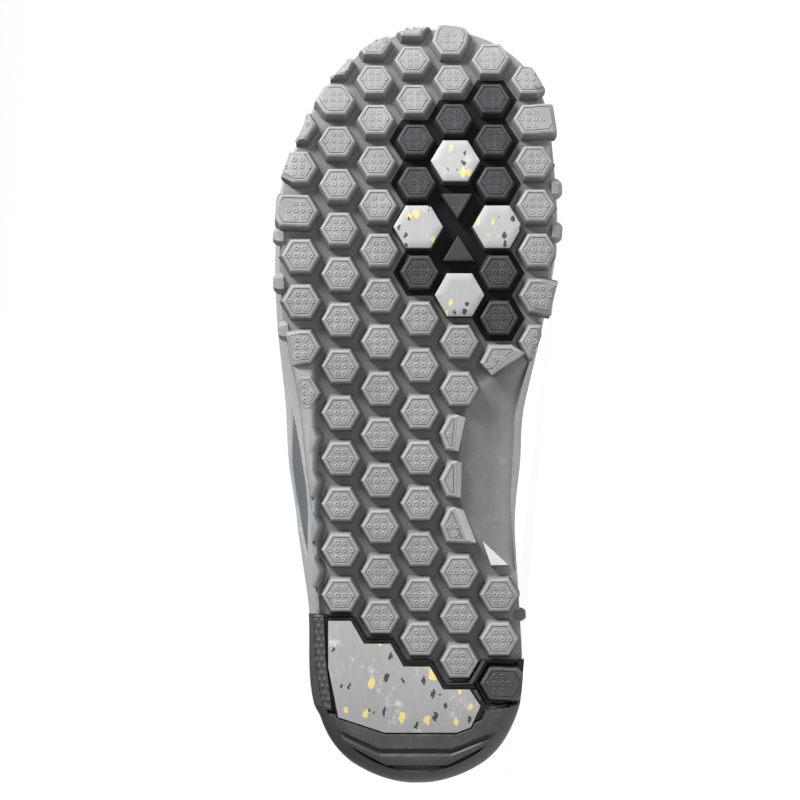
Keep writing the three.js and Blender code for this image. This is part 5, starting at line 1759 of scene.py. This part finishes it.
@dataclass
class Studio:
    """Pale seamless floor, soft lights and the camera square on to the sole."""

    distance: float = 750.0
    pixels_per_mm: float = 2.46
    frame_px: float = 800.0
    sole_y_px: float = 418.0
    tread_x_px: float = 404.5
    tread_x: float = 154.0
    near_glow: float = 0.94
    far_glow: float = 0.95
    horizon_glow: float = 1.0
    sky_glow: float = 0.12

    def camera(self) -> None:
        """Places the camera where the picture's middle falls on the tread, toe up and medial side right."""
        middle = self.frame_px / 2
        x = self.tread_x + (self.tread_x_px - middle) / self.pixels_per_mm
        y = (middle - self.sole_y_px) / self.pixels_per_mm
        spot = PLACE(np.array([[x, y, -self.distance]]))[0]
        axes = np.stack([PLACE.turn[:, 1], PLACE.turn[:, 0], -PLACE.turn[:, 2]], axis=1)
        data = bpy.data.cameras.new("camera")
        data.sensor_width = 36.0
        data.lens = data.sensor_width * self.distance * self.pixels_per_mm / self.frame_px
        data.clip_end = 50.0
        camera = bpy.data.objects.new("camera", data)
        camera.matrix_world = Matrix.Translation(Vector(spot)) @ Matrix(axes.tolist()).to_4x4()
        bpy.context.scene.collection.objects.link(camera)
        bpy.context.scene.camera = camera

    def floor(self) -> None:
        """Round sheet of paper under the boot, whose far part glows so that it meets the pale surround."""
        count = 96
        angle = np.linspace(0, 2 * math.pi, count, endpoint=False)[None, :]
        radius = np.array([0.4, 1.0, 2.0, 4.0, 9.0])[:, None]
        ring = np.stack([radius * np.cos(angle), radius * np.sin(angle), 0 * radius * angle], axis=-1)
        mesh = bpy.data.meshes.new("studio_floor")
        numbers = 1 + np.arange(len(radius) * count).reshape(-1, count)
        following = np.roll(numbers, -1, axis=1)
        quads = np.stack([numbers[:-1], numbers[1:], following[1:], following[:-1]], axis=-1).reshape(-1, 4)
        fan = np.stack([np.zeros(count, int), numbers[0], following[0]], axis=-1)
        points = np.concatenate([np.zeros((1, 3)), ring.reshape(-1, 3)])
        mesh.from_pydata(points.tolist(), [], quads.tolist() + fan.tolist())
        floor = bpy.data.objects.new("studio_floor", mesh)
        bpy.context.scene.collection.objects.link(floor)
        paper = Finish("studio_paper", (0.2, 0.2, 0.2), 0.9)
        material, tree, shader = paper.start()
        shader.inputs["Base Color"].default_value = (*paper.color, 1.0)
        shader.inputs["Roughness"].default_value = paper.roughness
        shader.inputs["Specular IOR Level"].default_value = 0.1
        place = Groups.node(tree, "ShaderNodeTexCoord").outputs["Object"]
        away = Groups.node(tree, "ShaderNodeVectorMath", {0: place}, operation="LENGTH").outputs["Value"]
        glow = Groups.node(tree, "ShaderNodeMapRange", {"Value": away, "From Min": 0.5, "From Max": 2.4,
                                                        "To Min": self.near_glow, "To Max": self.far_glow},
                           interpolation_type="SMOOTHSTEP").outputs["Result"]
        colour = Groups.node(tree, "ShaderNodeCombineColor", {"Red": glow, "Green": glow, "Blue": glow})
        tree.links.new(colour.outputs["Color"], shader.inputs["Emission Color"])
        shader.inputs["Emission Strength"].default_value = 1.0
        mesh.materials.append(material)

    @staticmethod
    def lamp(name: str, spot: tuple, target: tuple, size: float, power: float) -> None:
        """Adds a square soft light that faces a target."""
        data = bpy.data.lights.new(name, "AREA")
        data.shape = "SQUARE"
        data.size = size
        data.energy = power
        lamp = bpy.data.objects.new(name, data)
        aim = Vector(target) - Vector(spot)
        lamp.matrix_world = Matrix.Translation(Vector(spot)) @ aim.to_track_quat("-Z", "Y").to_matrix().to_4x4()
        bpy.context.scene.collection.objects.link(lamp)

    def lights(self) -> None:
        """Key from above the toe, and a surround that is pale round the horizon and dim overhead."""
        self.lamp("key", (1.15, -0.8, 1.1), (0.0, -0.1, 0.05), 0.5, 76.0)
        world = bpy.data.worlds.new("surround")
        bpy.context.scene.world = world
        world.use_nodes = True
        tree = world.node_tree
        way = Groups.node(tree, "ShaderNodeTexCoord").outputs["Generated"]
        rise = Groups.node(tree, "ShaderNodeSeparateXYZ", {0: way}).outputs["Z"]
        glow = Groups.node(tree, "ShaderNodeMapRange", {"Value": rise, "From Min": 0.24, "From Max": 0.5,
                                                        "To Min": self.horizon_glow, "To Max": self.sky_glow},
                           interpolation_type="SMOOTHSTEP").outputs["Result"]
        back = tree.nodes["Background"]
        back.inputs["Color"].default_value = (1.0, 1.0, 1.0, 1.0)
        tree.links.new(glow, back.inputs["Strength"])
        bpy.context.scene.view_settings.view_transform = "Standard"


def main() -> None:
    """Builds the boot sub-assembly by sub-assembly and the studio round it."""
    logging.basicConfig(level=logging.INFO, format="%(name)s: %(message)s")
    studio = Studio()
    studio.camera()
    studio.floor()
    studio.lights()

    grain = Groups.grain()
    flecks = Groups.flecks()
    grey = Rubber("grey_rubber", (0.21, 0.21, 0.212), 0.62, painted_shade=(0.075, 0.075, 0.077), dust=0.3).build(grain)
    dark = Rubber("dark_rubber", (0.05, 0.051, 0.054), 0.55, painted_shade=(0.005, 0.005, 0.006),
                  dust_color=(0.15, 0.15, 0.15), dust=0.4, specular=0.08).build(grain)
    heel = Rubber("heel_rubber", (0.04, 0.041, 0.043), 0.5, painted_shade=(0.005, 0.005, 0.006),
                  dust_color=(0.12, 0.12, 0.12), dust=0.45).build(grain)
    pale = Rubber("pale_midsole", (0.28, 0.282, 0.286), 0.6, painted_shade=(0.15, 0.15, 0.155),
                  dust_color=(0.6, 0.6, 0.6), contrast=0.1).build(grain)
    grip = Speckled("speckled_grip", (0.26, 0.26, 0.26), 0.62, share=0.22).build(grain, flecks)
    heel_grip = Speckled("heel_grip", (0.22, 0.22, 0.22), 0.62, scale=260.0, share=0.14, size=0.36,
                         scuff=0.6).build(grain, flecks)
    badge = BadgePlastic("badge_plastic", (0.07, 0.075, 0.08), 0.45).build(grain)
    cloth = Cloth("shell_cloth", (0.05, 0.053, 0.06), 0.85).build()
    cuff_cloth = Cloth("cuff_cloth", (0.035, 0.037, 0.042), 0.9, threads=800.0, sheen=0.4).build()
    fleece = Cloth("lining_fleece", (0.16, 0.165, 0.175), 0.95, fleece=1.0, sheen=0.5).build()
    felt = Cloth("footbed_felt", (0.2, 0.205, 0.215), 0.95, fleece=0.4).build()
    cap = Rubber("overlay_rubber", (0.035, 0.036, 0.04), 0.45, painted_shade=(0.015, 0.015, 0.017),
                 dust_color=(0.12, 0.12, 0.12), dust=0.3, contrast=0.1).build(grain)

    outsole = Outsole()
    dress(outsole.shell().build("outsole_shell"), grey, "grey_rubber", "outsole")
    cutter = LugCutter()
    merging_cutter = LugCutter(flush=True)
    centres, merging = sole_lugs()
    sheet = Sheet()
    cutter.blocks(sheet, centres)
    merging_cutter.blocks(sheet, merging)
    outsole.buried(sheet)
    outsole.arch_lugs(sheet)
    dress(sheet.build("tread_lugs", 22.0), grey, "grey_rubber")
    sheet = Sheet()
    cutter.pips(sheet, centres)
    merging_cutter.pips(sheet, merging)
    arch_centres = np.array([(*GRID.cell(*cell), 0.0, 0.5) for cell in ARCH_CELLS])
    cutter.pips(sheet, arch_centres + np.array([-1.2, 0.0, 0.0, 0.0]), 3.0)
    dress(sheet.build("lug_pips", 80.0), grey, "grey_rubber")
    dress(outsole.wedge().build("arch_wedge", 20.0), grey, "grey_rubber")
    sheet = Sheet()
    SideStuds().add(sheet)
    dress(sheet.build("side_studs"), grey, "grey_rubber")

    forefoot = Forefoot()
    sheet = Sheet()
    forefoot.plates(sheet)
    dress(sheet.build("forefoot_plate"), dark, "dark_rubber", "forefoot_insert")
    dark_centres = np.array([(*GRID.cell(*cell), 0.0, 0.5) for cell in FOREFOOT_LUGS])
    sheet = Sheet()
    cutter.blocks(sheet, dark_centres)
    cutter.pips(sheet, dark_centres)
    forefoot.wedges(sheet)
    dress(sheet.build("forefoot_lugs", 22.0), dark, "dark_rubber")
    pad_cutter = LugCutter(face=8.45, bevel=0.25, slant=0.1, root=4.6, bevel_drop=0.2, engraved=False, cut=False)
    for number, cell in enumerate(FOREFOOT_PADS, 1):
        sheet = Sheet()
        pad_cutter.blocks(sheet, np.array([(*GRID.cell(*cell), 0.0, 0.5)]))
        dress(sheet.build(f"grip_face_{number}"), grip, "speckled_grip", f"grip_pad_{number}")

    heel_piece = HeelPiece()
    dress(heel_piece.shell().build("heel_wrap"), heel, "dark_rubber", "heel_piece")
    sheet = Sheet()
    heel_centre = np.array([(*GRID.cell(*HEEL_LUG), 3.6, 0.6)])
    cutter.blocks(sheet, heel_centre)
    cutter.pips(sheet, heel_centre)
    dress(sheet.build("heel_lug", 22.0), heel, "dark_rubber")
    dress(heel_piece.pad().build("heel_grip_face"), heel_grip, "speckled_grip", "heel_pad")

    midsole = Midsole()
    dress(midsole.wall().build("midsole_wall"), pale, "pale_midsole", "midsole")
    dress(midsole.badge().build("badge_plate"), badge, "plain_badge", "side_badge")

    upper = Upper()
    dress(upper.shell().build("upper_shell"), cloth, "shell_cloth", "upper")
    dress(upper.lining().build("shaft_lining", 80.0, inward=True), fleece, "footbed_felt")
    dress(upper.toe_cap().build("toe_cap_cover"), cap, "overlay_rubber", "toe_cap")
    dress(upper.counter().build("heel_cup"), cap, "overlay_rubber", "heel_counter")
    cuff = upper.cuff().build("collar_roll", 80.0)
    dress(cuff, cuff_cloth, "cuff_cloth", "collar_cuff")
    dress(upper.footbed().build("footbed"), felt, "footbed_felt", "insole")


if __name__ == "__main__":
    main()
